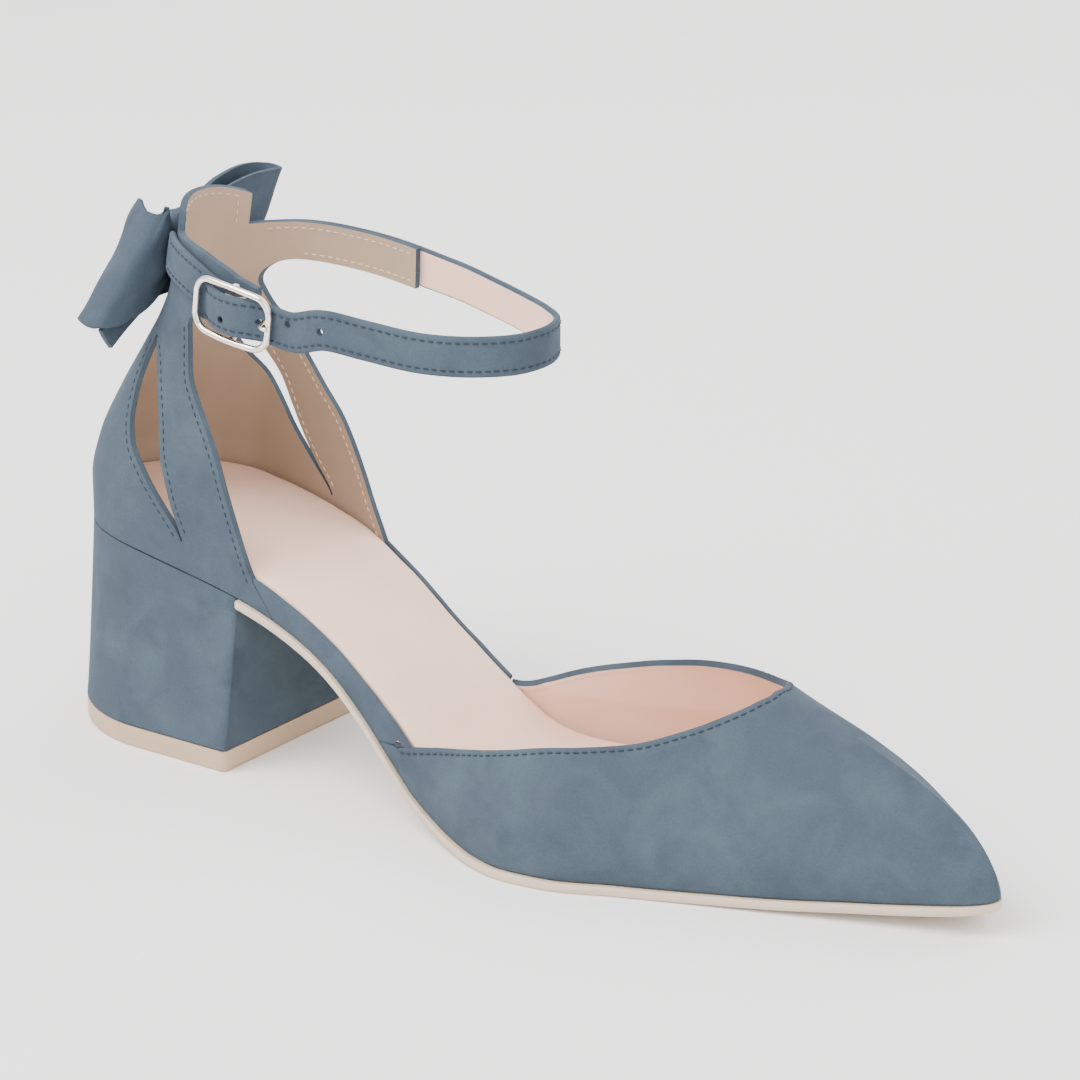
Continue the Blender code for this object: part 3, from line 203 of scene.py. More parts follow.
# Middle of the ankle band: place along the feather line's length and height as a share of
# BAND_HEIGHT, lateral and medial, and how far the quarter's edge stands over the lateral
# strap's edge as a share of STRAP_WIDTH
BAND_LINE = (
    (0.050, 1.0290, 0.9957, 0.00),
    (0.118, 1.0286, 0.9965, 0.00),
    (0.139, 1.0234, 1.0000, 0.04),
    (0.159, 1.0165, 1.0030, 0.10),
    (0.175, 1.0090, 1.0043, 0.16),
    (0.187, 1.0010, 1.0036, 0.22),
    (0.201, 0.9890, 1.0020, 0.28),
    (0.219, 0.9775, 0.9990, 0.30),
    (0.240, 0.9690, 0.9955, 0.22),
    (0.267, 0.9660, 0.9900, 0.10),
    (0.291, 0.9680, 0.9840, 0.00),
    (0.335, 0.9706, 0.9706, 0.00),
    (0.400, 0.9680, 0.9560, 0.00),
)

LATERAL_BAND_END = 0.262
MEDIAL_BAND_END = 0.300
# Free stretch of the ankle strap from the medial band's end round the front and back to the
# buckle: share of the way from the ankle's back to the loop's front, share of the ankle's
# half-width towards the lateral side, and height as a share of BAND_HEIGHT
FREE_STRAP = (
    (0.560, -0.985, 0.968),
    (0.680, -0.890, 0.954),
    (0.800, -0.700, 0.948),
    (0.900, -0.450, 0.950),
    (0.970, -0.180, 0.953),
    (1.000, 0.080, 0.952),
    (0.975, 0.400, 0.948),
    (0.900, 0.680, 0.944),
    (0.790, 0.885, 0.945),
    (0.660, 1.030, 0.959),
    (0.560, 1.110, 0.968),
)

# The strap's spare holes: distance from the prong's hole as a share of STRAP_HOLE_PITCH, and
# height over the buckle's middle as a share of STRAP_WIDTH
SPARE_HOLES = ((-1.08, -0.15), (0.85, 0.20), (1.87, 0.29))
# A bow loop's ribbon along its run from the knot over the tip and back: share of the reach,
# place across the loop as a share of LOOP_DEPTH, and the ribbon's width there as a share of
# RIBBON_WIDTH
LOOP_SHAPE = (
    (0.03, 0.15, 0.27),
    (0.17, 0.15, 0.30),
    (0.34, 0.34, 0.56),
    (0.56, 0.46, 0.80),
    (0.78, 0.47, 0.96),
    (0.92, 0.38, 1.00),
    (0.985, 0.20, 1.00),
    (1.000, 0.00, 1.00),
    (0.985, -0.20, 1.00),
    (0.92, -0.38, 1.00),
    (0.78, -0.47, 0.96),
    (0.56, -0.46, 0.80),
    (0.34, -0.34, 0.56),
    (0.17, -0.15, 0.30),
    (0.03, -0.15, 0.27),
)

# Reach of each bow loop from the knot to the middle of its tip, and the way its folded tip
# slants; then each tail's two edges from the knot down to its slanted end
LATERAL_LOOP = ((0.0015, -0.0208, -0.0020), (0.0030, 0.0200, 0.0225))
MEDIAL_LOOP = ((0.0040, 0.0240, -0.0010), (0.0040, 0.0110, 0.0270))
LATERAL_TAIL = (
    ((-0.0078, -0.0005, 0.1084), (-0.0072, -0.0005, 0.1044)),
    ((-0.0076, -0.0075, 0.1084), (-0.0069, -0.0062, 0.1044)),
    ((-0.0070, -0.0150, 0.1076), (-0.0062, -0.0121, 0.1028)),
    ((-0.0066, -0.0225, 0.1046), (-0.0060, -0.0193, 0.0994)),
    ((-0.0062, -0.0280, 0.1010), (-0.0056, -0.0252, 0.0962)),
)

MEDIAL_TAIL = (
    ((-0.0078, 0.0005, 0.1084), (-0.0072, 0.0005, 0.1044)),
    ((-0.0076, 0.0070, 0.1060), (-0.0070, 0.0055, 0.1018)),
    ((-0.0066, 0.0150, 0.1002), (-0.0062, 0.0130, 0.0958)),
    ((-0.0052, 0.0230, 0.0980), (-0.0048, 0.0205, 0.0926)),
    ((-0.0036, 0.0290, 0.0965), (-0.0032, 0.0275, 0.0910)),
)

# The outsole's edge stands out less at the toe's tip: share left there, and the stretch of the
# length over which it comes back
TIP_FLANGE = 0.20
FLANGE_FADE = 0.05
QUARTER_FRONT = 0.350
NUDGE = 1.0e-5


def linear(code):
    """Linear colour of an sRGB hex code, with alpha 1."""
    values = [int(code[place : place + 2], 16) / 255 for place in (0, 2, 4)]
    return (*[v / 12.92 if v <= 0.04045 else ((v + 0.055) / 1.055) ** 2.4 for v in values], 1.0)


def length(label, what, metres):
    """A size with its name, description and default."""
    return FloatProperty(name=label, description=what, default=metres, unit="LENGTH", precision=5)


class ShoeSizes(bpy.types.PropertyGroup):
    """Sizes of the shoe, in metres."""

    last_length: length("Last length", "Length of the feather line, heel to toe", 0.2490)
    seat_back: length("Seat back", "X of the feather line's rearmost point", -0.0265)
    seat_width: length("Seat width", "Width of the heel seat", 0.0530)
    waist_width: length("Waist width", "Width of the sole at the waist", 0.0410)
    ball_width: length("Ball width", "Width of the sole at the ball", 0.0800)
    seat_height: length("Seat height", "Height of the footbed at the heel", 0.0510)
    toe_spring: length("Toe spring", "Rise of the sole at the toe's tip", 0.0050)
    instep_height: length("Instep height", "Scale of the vamp's crest over the footbed", 0.0405)
    tab_height: length("Tab height", "Top of the back tab", 0.1306)
    tab_arch: length("Tab arch", "Fall of the back tab's top from its middle to its corners", 0.0023)
    band_height: length("Band height", "Height of the ankle band's middle", 0.1155)
    gap: length("Gap", "Clearance between pieces that touch", 0.0003)
    wall: length("Wall", "Thickness of the upper with its lining", 0.0016)
    outsole_thickness: length("Outsole thickness", "Thickness of the sole's edge", 0.0022)
    outsole_flange: length("Outsole flange", "How far the sole stands out from the upper", 0.0012)
    board_thickness: length("Board thickness", "Thickness of the insole board", 0.0020)
    bed_thickness: length("Bed thickness", "Scale of the sock's height over the board's underside", 0.0112)
    sock_crown: length("Sock crown", "Swell of the padded sock across its width", 0.0008)
    rand_wall: length("Rand wall", "Thickness of the footbed's covered edge", 0.0014)
    upper_bulge: length("Upper bulge", "Roll of the vamp outwards over the feather line", 0.0010)
    lift_thickness: length("Lift thickness", "Thickness of the top lift", 0.0052)
    lift_back: length("Lift back", "X of the top lift's rearmost point", -0.0290)
    breast_x: length("Breast", "X of the heel's front face", 0.0315)
    lift_width: length("Lift width", "Width of the top lift", 0.0640)
    breast_curve: length("Breast curve", "Hollow of the heel's front face", 0.0012)
    breast_corner: length("Breast corner", "Cut of the heel breast's corners", 0.0012)
    ankle_back: length("Ankle back", "X of the ankle opening's rearmost point", 0.0030)
    ankle_round: length("Ankle round", "Length over which the ankle opening rounds at the back", 0.0400)
    ankle_width: length("Ankle width", "Width of the ankle opening", 0.0490)
    loop_front: length("Loop front", "X of the strap loop's foremost point", 0.1040)
    tab_width: length("Tab width", "Width of the back tab", 0.0240)
    strap_width: length("Strap width", "Width of the ankle strap", 0.0094)
    strap_thickness: length("Strap thickness", "Thickness of the ankle strap with its lining", 0.0016)
    strap_hole: length("Strap hole", "Diameter of a punched hole", 0.0017)
    strap_hole_pitch: length("Hole pitch", "Distance between punched holes", 0.0089)
    fold_thickness: length("Fold thickness", "Thickness of the strap skived for its fold", 0.0009)
    buckle_length: length("Buckle length", "Length of the buckle's frame along the strap", 0.0238)
    buckle_height: length("Buckle height", "Height of the buckle's frame", 0.0134)
    buckle_wire: length("Buckle wire", "Diameter of the buckle's wire", 0.0016)
    buckle_corner: length("Buckle corner", "Radius of the buckle's corners", 0.0038)
    buckle_x: length("Buckle place", "X of the buckle's bar", 0.0343)
    buckle_bulge: length("Buckle bulge", "Swell of the buckle's long sides", 0.0005)
    bar_wire: length("Bar wire", "Diameter of the buckle's bar", 0.0014)
    prong_wire: length("Prong wire", "Diameter of the prong", 0.0010)
    frame_front_out: length("Frame front", "How far out the frame's front rail lies from the bar", 0.0024)
    frame_middle_out: length("Frame middle", "How far out the frame's middle lies from the bar", 0.0026)
    frame_rear_out: length("Frame rear", "How far out the frame's rear rail lies from the bar", 0.0010)
    bow_height: length("Bow height", "Height of the knot's middle", 0.1165)
    ribbon_width: length("Ribbon width", "Width of the bow's ribbon at a loop's tip", 0.0310)
    ribbon_thickness: length("Ribbon thickness", "Thickness of the bow's ribbon", 0.0012)
    loop_depth: length("Loop depth", "Distance between a bow loop's two layers", 0.0082)
    knot_width: length("Knot width", "Width of the knot", 0.0105)
    knot_height: length("Knot height", "Height of the knot", 0.0150)
    knot_depth: length("Knot depth", "Depth of the knot", 0.0086)
    ribbon_belly: length("Ribbon belly", "Roll of the ribbon across its width", 0.0016)
    knot_wall: length("Knot wall", "Thickness of the knot's band", 0.0013)
    buckle_slope: FloatProperty(
        name="Buckle slope",
        description="Slope of the buckle down towards the toe",
        default=math.radians(7.0),
        subtype="ANGLE",
    )


def colour_property(label, what, code):
    """A colour with its name, description and default."""
    return FloatVectorProperty(
        name=label, description=what, default=linear(code), subtype="COLOR", size=4, min=0, max=1
    )


class ShoeColours(bpy.types.PropertyGroup):
    """Colours of the shoe's materials."""

    suede: colour_property("Suede", "Blue-grey suede of the upper, straps, heel and bow", "404B56")
    nap: colour_property("Nap", "Lighter patches where the nap lies the other way", "47545F")
    shade: colour_property("Shade", "Darker patches where the nap is pressed", "3A444E")
    thread: colour_property("Thread", "Sewing thread on the suede", "1F2936")
    lining: colour_property("Lining", "Pink leather of the sock, strap and vamp lining", "ECC7B2")
    tan: colour_property("Tan lining", "Tan leather inside the counter, straps and tab", "A08A76")
    tan_thread: colour_property("Tan thread", "Sewing thread on the tan lining", "D2BFA6")
    sole: colour_property("Sole", "Smooth edge of the sole", "CCB8A2")
    lift: colour_property("Lift", "Top lift under the heel", "BBA187")
    metal: colour_property("Metal", "Pale plated buckle", "EADFD6")


def through(rows, column, at):
    """Smooth curve through one column of a table, with no overshoot: each row's slope is the
    harmonic mean of the chords on both sides."""
    table = np.asarray(rows, float)
    where, value = table[:, 0], table[:, column]
    at = np.clip(np.asarray(at, float), where[0], where[-1])
    step = np.diff(where)
    chord = np.diff(value) / step
    slope = np.concatenate([chord[:1], np.zeros(len(chord) - 1), chord[-1:]])
    before, after = chord[:-1], chord[1:]
    same_way = before * after > 0
    slope[1:-1][same_way] = (2 * before * after)[same_way] / (before + after)[same_way]
    low = np.clip(np.searchsorted(where, at, side="right") - 1, 0, len(step) - 1)
    share = (at - where[low]) / step[low]
    bend = share * share * (3 - 2 * share)
    return (
        value[low] * (1 - bend)
        + value[low + 1] * bend
        + step[low] * share * (1 - share) * (slope[low] * (1 - share) - slope[low + 1] * share)
    )


def arc_of(station):
    """Arc station of a place along the length: equal steps of it crowd at heel and toe, which
    rounds both ends of an outline that is smooth in it."""
    return np.arccos(np.clip(1 - 2 * np.asarray(station, float), -1, 1)) / math.pi


def station_of(arc):
    """Place along the length of an arc station."""
    return (1 - np.cos(np.pi * np.asarray(arc, float))) / 2


def smooth_path(points, count):
    """Even steps along one smooth curve through the points (Catmull-Rom by chord length)."""
    points = np.asarray(points, float)
    run = np.concatenate([[0], np.cumsum(np.linalg.norm(np.diff(points, axis=0), axis=1))])
    slope = np.gradient(points, run, axis=0)
    at = np.linspace(0, run[-1], count)
    low = np.clip(np.searchsorted(run, at, side="right") - 1, 0, len(run) - 2)
    step = (run[low + 1] - run[low])[:, None]
    share = ((at - run[low])[:, None]) / step
    bend = share * share * (3 - 2 * share)
    early = share * (1 - share) ** 2 * slope[low] * step
    late = share**2 * (share - 1) * slope[low + 1] * step
    return points[low] * (1 - bend) + points[low + 1] * bend + early + late


def tread(s):
    """Level of the insole board's underside over the tread."""
    return s.outsole_thickness + s.gap


def outline(s):
    """The feather line's table in metres: arc station, lateral and medial half-widths."""
    return [
        (float(arc_of(station)), getattr(s, width) * lateral, getattr(s, width) * medial)
        for station, width, lateral, medial in FEATHER
    ]


def fold_radius(s):
    """Radius of the skived strap's middle round the buckle's bar."""
    return s.bar_wire / 2 + s.gap + s.fold_thickness / 2


def bar_out(s):
    """How far the bar's middle lies from the quarter's surface."""
    return s.gap + s.fold_thickness / 2 + fold_radius(s)


def strap_over_fold(s):
    """How far out the ankle strap's middle lies where it passes over the fold."""
    return fold_radius(s) + s.fold_thickness / 2 + s.gap + s.strap_thickness / 2


def x_of(s, station):
    """X of a place along the feather line's length."""
    return s.seat_back + s.last_length * np.asarray(station, float)


def along(s, x):
    """Place along the feather line's length of an X, held inside the line."""
    return np.clip((np.asarray(x, float) - s.seat_back) / s.last_length, 0, 1)


def bed_height(s, x):
    """Height of the insole board's underside at an X."""
    station = along(s, x)
    rise = through(PROFILE, 1, station) * (s.seat_height - tread(s))
    return tread(s) + rise + through(PROFILE, 2, station) * s.toe_spring


def feather(s, arc, side, offset=0.0):
    """Points of the feather line seen from above, on side -1 (lateral) or 1 (medial), moved
    outwards by offset along the line's own normal."""
    arc = np.asarray(arc, float)

    def place(at):
        column = 1 if side < 0 else 2
        return x_of(s, station_of(at)), side * through(outline(s), column, at)

    early, late = np.clip(arc - NUDGE, 0, 1), np.clip(arc + NUDGE, 0, 1)
    x, y = place(arc)
    x0, y0 = place(early)
    x1, y1 = place(late)
    length = np.maximum(np.hypot(x1 - x0, y1 - y0), 1e-12)
    return x - side * offset * (y1 - y0) / length, y + side * offset * (x1 - x0) / length


def bed_margin(s, arc):
    """Distance of the sock's edge inside the feather line."""
    return through(BED, 2, station_of(arc)) * s.rand_wall


def bed_top(s, x):
    """Height of the bed's top edge: the sock's edge, and the rand's in the waist."""
    return bed_height(s, x) + through(BED, 1, along(s, x)) * s.bed_thickness


def strap_edge(s, side, height):
    """Place along the length where the side strap's front edge passes a height over the board's
    underside."""
    column = 3 if side < 0 else 6
    places = np.linspace(0.15, 0.4, 501)
    level = bed_height(s, x_of(s, places)) + height
    edge = through(SPLIT, column, (level - s.seat_height) / (s.band_height - s.seat_height))
    return float(places[np.argmin(np.abs(edge - places))])


def vamp_edge(s, side, height):
    """Place along the length where the vamp's rear edge passes a height over the board's
    underside."""
    station, across = TOPLINE[0] if side < 0 else TOPLINE[-1]
    corner = last_point(s, arc_of(station), across)
    rise = float(corner[2] - bed_height(s, corner[0]))
    foot = VAMP_FOOT_LATERAL if side < 0 else VAMP_FOOT_MEDIAL
    return foot + (station - foot) * height / rise


def last_point(s, arc, across):
    """Points of the last's surface over the vamp: a superellipse across at each station, from -1
    at the lateral feather line over the crest at 0 to 1, with a small roll outwards over the
    feather line."""
    station = station_of(arc)
    x = x_of(s, station)
    lateral = through(outline(s), 1, arc)
    medial = through(outline(s), 2, arc)
    crest_arc = [(float(arc_of(row[0])), *row[1:]) for row in CREST]
    height = through(crest_arc, 1, arc) * s.instep_height
    shift = through(crest_arc, 2, arc) * s.ball_width
    power = 2 / through(crest_arc, 3, arc)
    angle = np.abs(across) * np.pi / 2
    half = np.where(across < 0, lateral + shift, medial - shift)
    rise = height * np.maximum(np.cos(angle), 0) ** power
    roll = s.upper_bulge * np.sin(np.pi * np.clip(rise / (0.4 * s.instep_height), 0, 1))
    roll = roll * np.clip(half / (0.15 * s.ball_width), 0, 1)
    reach = half * np.sin(angle) ** power + roll
    y = shift + np.sign(across) * reach
    return np.stack([x + 0 * y, y, bed_height(s, x) + rise], axis=-1)


def topline_curve(s, count):
    """Arc stations and places across of the topline, spread evenly along it."""
    rows = np.array(TOPLINE)
    arcs, across = arc_of(rows[:, 0]), rows[:, 1]
    steps = np.hypot(np.diff(arcs) * 2.2, np.diff(across) * 0.6)
    run = np.concatenate([[0], np.cumsum(steps)]) / steps.sum()
    table = np.stack([run, arcs, across], axis=1)
    at = np.linspace(0, 1, count)
    return through(table, 1, at), through(table, 2, at)


def quarter_share(s, z):
    """How far the quarter has moved from the feather line to the ankle opening at a height."""
    rise = (np.asarray(z, float) - s.seat_height) / (s.tab_height - s.seat_height)
    return through(QUARTER_PROFILE, 1, rise)


def quarter_point(s, place, side, z, offset=0.0):
    """Points of the quarter's outer surface at a place along the length, a side and a height,
    moved outwards by offset: plan curves that go from the feather line to the ankle's oval."""
    place = np.asarray(place, float)
    step = 2e-3

    def plan(at):
        at = np.maximum(at, 0)
        bx, by = feather(s, arc_of(at), side)
        front = x_of(s, QUARTER_FRONT)
        tx = s.ankle_back + (front - s.ankle_back) * at / QUARTER_FRONT
        inside = np.clip(1 - (tx - s.ankle_back) / s.ankle_round, 0, 1)
        ty = side * s.ankle_width / 2 * np.sqrt(1 - inside**2)
        share = quarter_share(s, z)
        return bx + (tx - bx) * share, by + (ty - by) * share

    x, y = plan(place)
    x1, y1 = plan(place + step)
    length = np.hypot(x1 - x, y1 - y)
    nx, ny = -side * (y1 - y) / length, side * (x1 - x) / length
    nx = np.where(place <= 1e-9, -1.0, nx)
    ny = np.where(place <= 1e-9, 0.0, ny)
    return x + nx * offset, y + ny * offset


def place_at(s, x, side, z):
    """Place along the length at which the quarter's surface has an X at a height."""
    places = np.linspace(0, QUARTER_FRONT, 300)
    return float(np.interp(x, quarter_point(s, places, side, z)[0], places))


def split_x(s, column, z):
    """X of one of the quarter's edges at a height."""
    return x_of(s, through(SPLIT, column, (z - s.seat_height) / (s.band_height - s.seat_height)))


def band_z(s, x, side):
    """Height of the ankle band's middle at an X."""
    return through(BAND_LINE, 1 if side < 0 else 2, along(s, x)) * s.band_height


def band_lip(s, x, side):
    """How far the quarter's edge stands over the strap's edge, as a share of s.strap_width."""
    return through(BAND_LINE, 3, along(s, x)) if side < 0 else 0.0


def quarter_outlines(s, side):
    """Side-view outlines that the quarter is cut by: the long hole behind the side strap, all in
    front of the strap and under the band, and all above the band beside the tab."""
    base = 1 if side < 0 else 4
    rise = s.band_height - s.seat_height
    heights = s.seat_height + rise * np.linspace(HOLE_FROM, HOLE_TO, 60)
    rear = [(float(split_x(s, base, z)), float(z)) for z in heights]
    fore = [(float(split_x(s, base + 1, z)), float(z)) for z in heights]
    hole = rear + fore[::-1]
    end = float(x_of(s, LATERAL_BAND_END if side < 0 else MEDIAL_BAND_END))
    far = float(x_of(s, 0.55))
    low_heights = np.linspace(0.3 * s.seat_height, s.seat_height + 0.83 * rise, 60)
    edge = [(float(split_x(s, base + 2, z)), float(z)) for z in low_heights]
    corner_x, corner_z = edge[-1]

    def under(x):
        return float(band_z(s, x, side)) - s.strap_width / 2

    def over(x):
        return float(band_z(s, x, side)) + s.strap_width * (0.5 + float(band_lip(s, x, side)))

    reach = corner_x + 0.010
    fillet = []
    for share in np.linspace(0.06, 0.94, 12):
        turn = share * math.pi / 2
        x = corner_x + (reach - corner_x) * (1 - math.cos(turn))
        fillet.append((x, corner_z + (under(reach) - corner_z) * math.sin(turn)))
    line = [(x, under(x)) for x in np.linspace(reach, max(end, reach + 0.002), 24)]
    front = edge + fillet + line + [(line[-1][0], s.tab_height * 1.1), (far, s.tab_height * 1.1)]
    front.append((far, 0.3 * s.seat_height))
    xs = np.linspace(float(x_of(s, -0.05)), far, 90)
    crown = [(float(x), over(x)) for x in xs] + [(far, s.tab_height * 1.2), (xs[0], s.tab_height * 1.2)]
    return hole, front, crown


def buckle_axes(s):
    """The buckle's own frame: the bar's middle, the way along the strap to the toe, outwards
    from the ankle, and up across the strap."""
    z = float(band_z(s, s.buckle_x, -1))
    place = place_at(s, s.buckle_x, -1, z)
    x, y = quarter_point(s, place, -1, z)
    bar = np.array([float(x), float(y) - bar_out(s), z])
    run = np.array([math.cos(s.buckle_slope), 0.0, -math.sin(s.buckle_slope)])
    out = np.array([0.0, -1.0, 0.0])
    up = np.cross(out, run)
    return bar, run, out, up


def on_buckle(s, run, out, up=0.0):
    """A point in the buckle's own frame, as world coordinates."""
    bar, along_strap, outwards, upwards = buckle_axes(s)
    return bar + run * along_strap + out * outwards + up * upwards


def band_route(s, side, first, last, count, layer):
    """Middle of a strap that lies on the quarter from one X to another, with the up direction of
    the surface there. layer is the strap's middle over the quarter's surface."""
    centres, ups = [], []
    for x in np.linspace(first, last, count):
        z = float(band_z(s, x, side))
        place = place_at(s, x, side, z)
        low = quarter_point(s, place, side, z - s.strap_width / 2, layer)
        high = quarter_point(s, place, side, z + s.strap_width / 2, layer)
        middle = quarter_point(s, place, side, z, layer)
        centres.append((float(middle[0]), float(middle[1]), z))
        ups.append((float(high[0] - low[0]), float(high[1] - low[1]), s.strap_width))
    return centres, ups


def ankle_strap_path(s):
    """Middle line and up directions of the ankle strap: from under the bow along the medial
    band, free round the front, through the buckle and on to its free end."""
    layer = s.gap + s.strap_thickness / 2
    medial_end = float(x_of(s, MEDIAL_BAND_END)) + 0.002
    centres, ups = band_route(s, 1, s.ankle_back + 0.0015, medial_end, 48, layer)
    span = s.loop_front - s.ankle_back
    half = s.ankle_width / 2
    free = [centres[-2], centres[-1]]
    for share, across, height in FREE_STRAP:
        x = s.ankle_back + share * span - s.strap_thickness / 2 * (share > 0.99)
        free.append((x, -across * half, height * s.band_height))
    under = s.buckle_wire / 2 + s.gap + s.strap_thickness / 2
    front, rear = s.frame_front_out - under, s.frame_rear_out - under
    half_l = (s.buckle_length - s.buckle_wire) / 2
    through_buckle = [
        (half_l + 0.0050, front),
        (half_l, front),
        (half_l * 0.68, front),
        (half_l * 0.40, 0.45 * front + 0.55 * strap_over_fold(s)),
        (fold_radius(s) * 1.3, strap_over_fold(s)),
        (-fold_radius(s) * 1.8, strap_over_fold(s)),
        (-half_l * 0.55, 0.4 * rear + 0.6 * strap_over_fold(s)),
        (-half_l * 0.82, rear + 0.0002),
        (-half_l, rear),
        (-half_l - 0.0014, rear - 0.0001),
    ]
    free += [tuple(on_buckle(s, run, out)) for run, out in through_buckle]
    route = smooth_path(free, 230)[10:]
    path = np.concatenate([centres[:-1], route])
    ways = np.concatenate([ups[:-1], np.tile([0.0, 0.0, s.strap_width], (len(route), 1))])
    return path, ways


def prong_hole(s):
    """Distance of the prong's hole from the bar."""
    return (s.buckle_length - s.buckle_wire) / 2 - 0.0030


def frame_out(s, run):
    """How far outwards the buckle's frame lies at a distance from the bar."""
    share = run / ((s.buckle_length - s.buckle_wire) / 2)
    lean = (s.frame_front_out - s.frame_rear_out) / 2
    bow = (s.frame_front_out + s.frame_rear_out) / 2 - s.frame_middle_out
    return s.frame_middle_out + lean * share + bow * share**2


def knot_centre(s):
    """Middle of the bow's knot. Its lower part lies against the quarter's leaning back."""
    x = float(quarter_point(s, 0.0, 1, s.bow_height - 0.22 * s.knot_height)[0])
    return np.array([x - s.gap - s.knot_depth / 2, 0.0, s.bow_height])




EDGE_SEAM = 0.0015
STITCH_PITCH = 0.0020
STITCH_LENGTH = 0.0014
STITCH_RADIUS = 0.00015


def unit(vectors):
    """Vectors scaled to length 1."""
    vectors = np.asarray(vectors, float)
    return vectors / np.maximum(np.linalg.norm(vectors, axis=-1, keepdims=True), 1e-12)


def grid_faces(rows, columns, around=False):
    """Faces of a grid of points by row; around joins the last column to the first."""
    row = np.arange(rows - 1)[:, None] * columns
    column = np.arange(columns if around else columns - 1)[None, :]
    after = (column + 1) % columns
    faces = [row + column, row + after, row + columns + after, row + columns + column]
    return np.stack(faces, axis=-1).reshape(-1, 4)


def piece(name, points, faces, looks, indices=None, inside=None):
    """An object at the origin from points and faces. Doubled points are merged and normals set
    outwards: away from the point inside, where the surface is open."""
    mesh = bpy.data.meshes.new(name)
    mesh.from_pydata(np.asarray(points, float).reshape(-1, 3).tolist(), [], [list(f) for f in faces])
    for look in looks:
        mesh.materials.append(look)
    if indices is not None:
        mesh.polygons.foreach_set("material_index", np.asarray(indices, np.int32))
    shell = bmesh.new()
    shell.from_mesh(mesh)
    bmesh.ops.remove_doubles(shell, verts=shell.verts, dist=2e-6)
    bmesh.ops.dissolve_degenerate(shell, edges=shell.edges, dist=1e-6)
    bmesh.ops.recalc_face_normals(shell, faces=shell.faces)
    if inside is not None:
        away = sum(f.normal.dot(f.calc_center_median() - Vector(inside)) * f.calc_area() for f in shell.faces)
        if away < 0:
            bmesh.ops.reverse_faces(shell, faces=shell.faces)
    shell.to_mesh(mesh)
    shell.free()
    made = bpy.data.objects.new(name, mesh)
    bpy.context.scene.collection.objects.link(made)
    smooth(mesh)
    return made


def smooth(mesh):
    """Shades a mesh smooth, with its real edges kept sharp."""
    mesh.shade_smooth()
    mesh.set_sharp_from_angle(angle=math.radians(38))


def loft(name, rings, looks, indices=None, capped=True):
    """Closed solid through rings of points, stacked as an array of rings, points and axes."""
    rings = np.asarray(rings, float)
    count, around = rings.shape[:2]
    faces = grid_faces(count, around, around=True).tolist()
    if indices is not None:
        indices = list(np.tile(indices, count - 1))
    if capped:
        faces += [list(range(around)), list(range((count - 1) * around, count * around))]
        indices = None if indices is None else indices + [0, 0]
    return piece(name, rings, faces, looks, indices)


def wall(thing, thickness, offset=-1.0, even=True):
    """Gives an open surface its wall. The lining is the second material. An uneven wall keeps
    sharp corners from spiking."""
    shell = thing.modifiers.new("Wall", "SOLIDIFY")
    shell.thickness = thickness
    shell.offset = offset
    shell.use_even_offset = even
    shell.use_quality_normals = True
    if len(thing.data.materials) > 1:
        shell.material_offset = 1


def cut(thing, tool):
    """Cuts a closed shape out of thing."""
    boolean = thing.modifiers.new(tool.name, "BOOLEAN")
    boolean.operation = "DIFFERENCE"
    boolean.solver = "EXACT"
    boolean.object = tool


def bake(thing):
    """Makes thing's modifiers part of its mesh, and removes the shapes it was cut by."""
    tools = [m.object for m in thing.modifiers if m.type == "BOOLEAN"]
    mesh = bpy.data.meshes.new_from_object(thing.evaluated_get(bpy.context.evaluated_depsgraph_get()))
    thing.modifiers.clear()
    thing.data = mesh
    for tool in tools:
        bpy.data.objects.remove(tool, do_unlink=True)
    smooth(mesh)
    return thing


def place_piece(thing, nodes):
    """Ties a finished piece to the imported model."""
    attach(thing, "root")
    if nodes:
        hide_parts(*nodes)
    return thing


def stitches(name, runs, look, length=STITCH_LENGTH):
    """Seam of separate stitches as one mesh. Each run is its points and the surface's normals
    there. A stitch is a short round thread that dips into the surface at both ends."""
    centres, ways, normals = [], [], []
    for points, outwards in runs:
        points, outwards = np.asarray(points, float), unit(outwards)
        run = np.concatenate([[0], np.cumsum(np.linalg.norm(np.diff(points, axis=0), axis=1))])
        count = int(run[-1] / STITCH_PITCH)
        at = (np.arange(count) + 0.5) * run[-1] / count
        centre = np.stack([np.interp(at, run, points[:, k]) for k in range(3)], axis=1)
        before = np.stack([np.interp(at - 3e-4, run, points[:, k]) for k in range(3)], axis=1)
        after = np.stack([np.interp(at + 3e-4, run, points[:, k]) for k in range(3)], axis=1)
        centres.append(centre)
        ways.append(unit(after - before))
        normals.append(unit(np.stack([np.interp(at, run, outwards[:, k]) for k in range(3)], axis=1)))
    centre, way, normal = np.concatenate(centres), np.concatenate(ways), np.concatenate(normals)
    beside = unit(np.cross(way, normal))
    lean = np.array([-0.5, -0.34, 0.0, 0.34, 0.5]) * length
    lift = np.array([-0.9, 0.2, 0.55, 0.2, -0.9]) * STITCH_RADIUS
    thick = np.array([0.35, 0.9, 1.0, 0.9, 0.35]) * STITCH_RADIUS
    turn = np.arange(6) * math.pi / 3
    rings = (
        centre[:, None, None]
        + way[:, None, None] * lean[None, :, None, None]
        + normal[:, None, None] * (lift[:, None] + thick[:, None] * np.sin(turn))[None, :, :, None]
        + beside[:, None, None] * (thick[:, None] * np.cos(turn))[None, :, :, None]
    )
    faces = np.concatenate([grid_faces(5, 6, around=True) + 30 * k for k in range(len(centre))])
    caps = [[30 * k + j + end for j in range(6)] for k in range(len(centre)) for end in (0, 24)]
    return piece(name, rings, faces.tolist() + caps, [look])


def per(millimetres):
    """Texture scale at which one feature of a pattern is that many millimetres wide."""
    return 1000 / millimetres


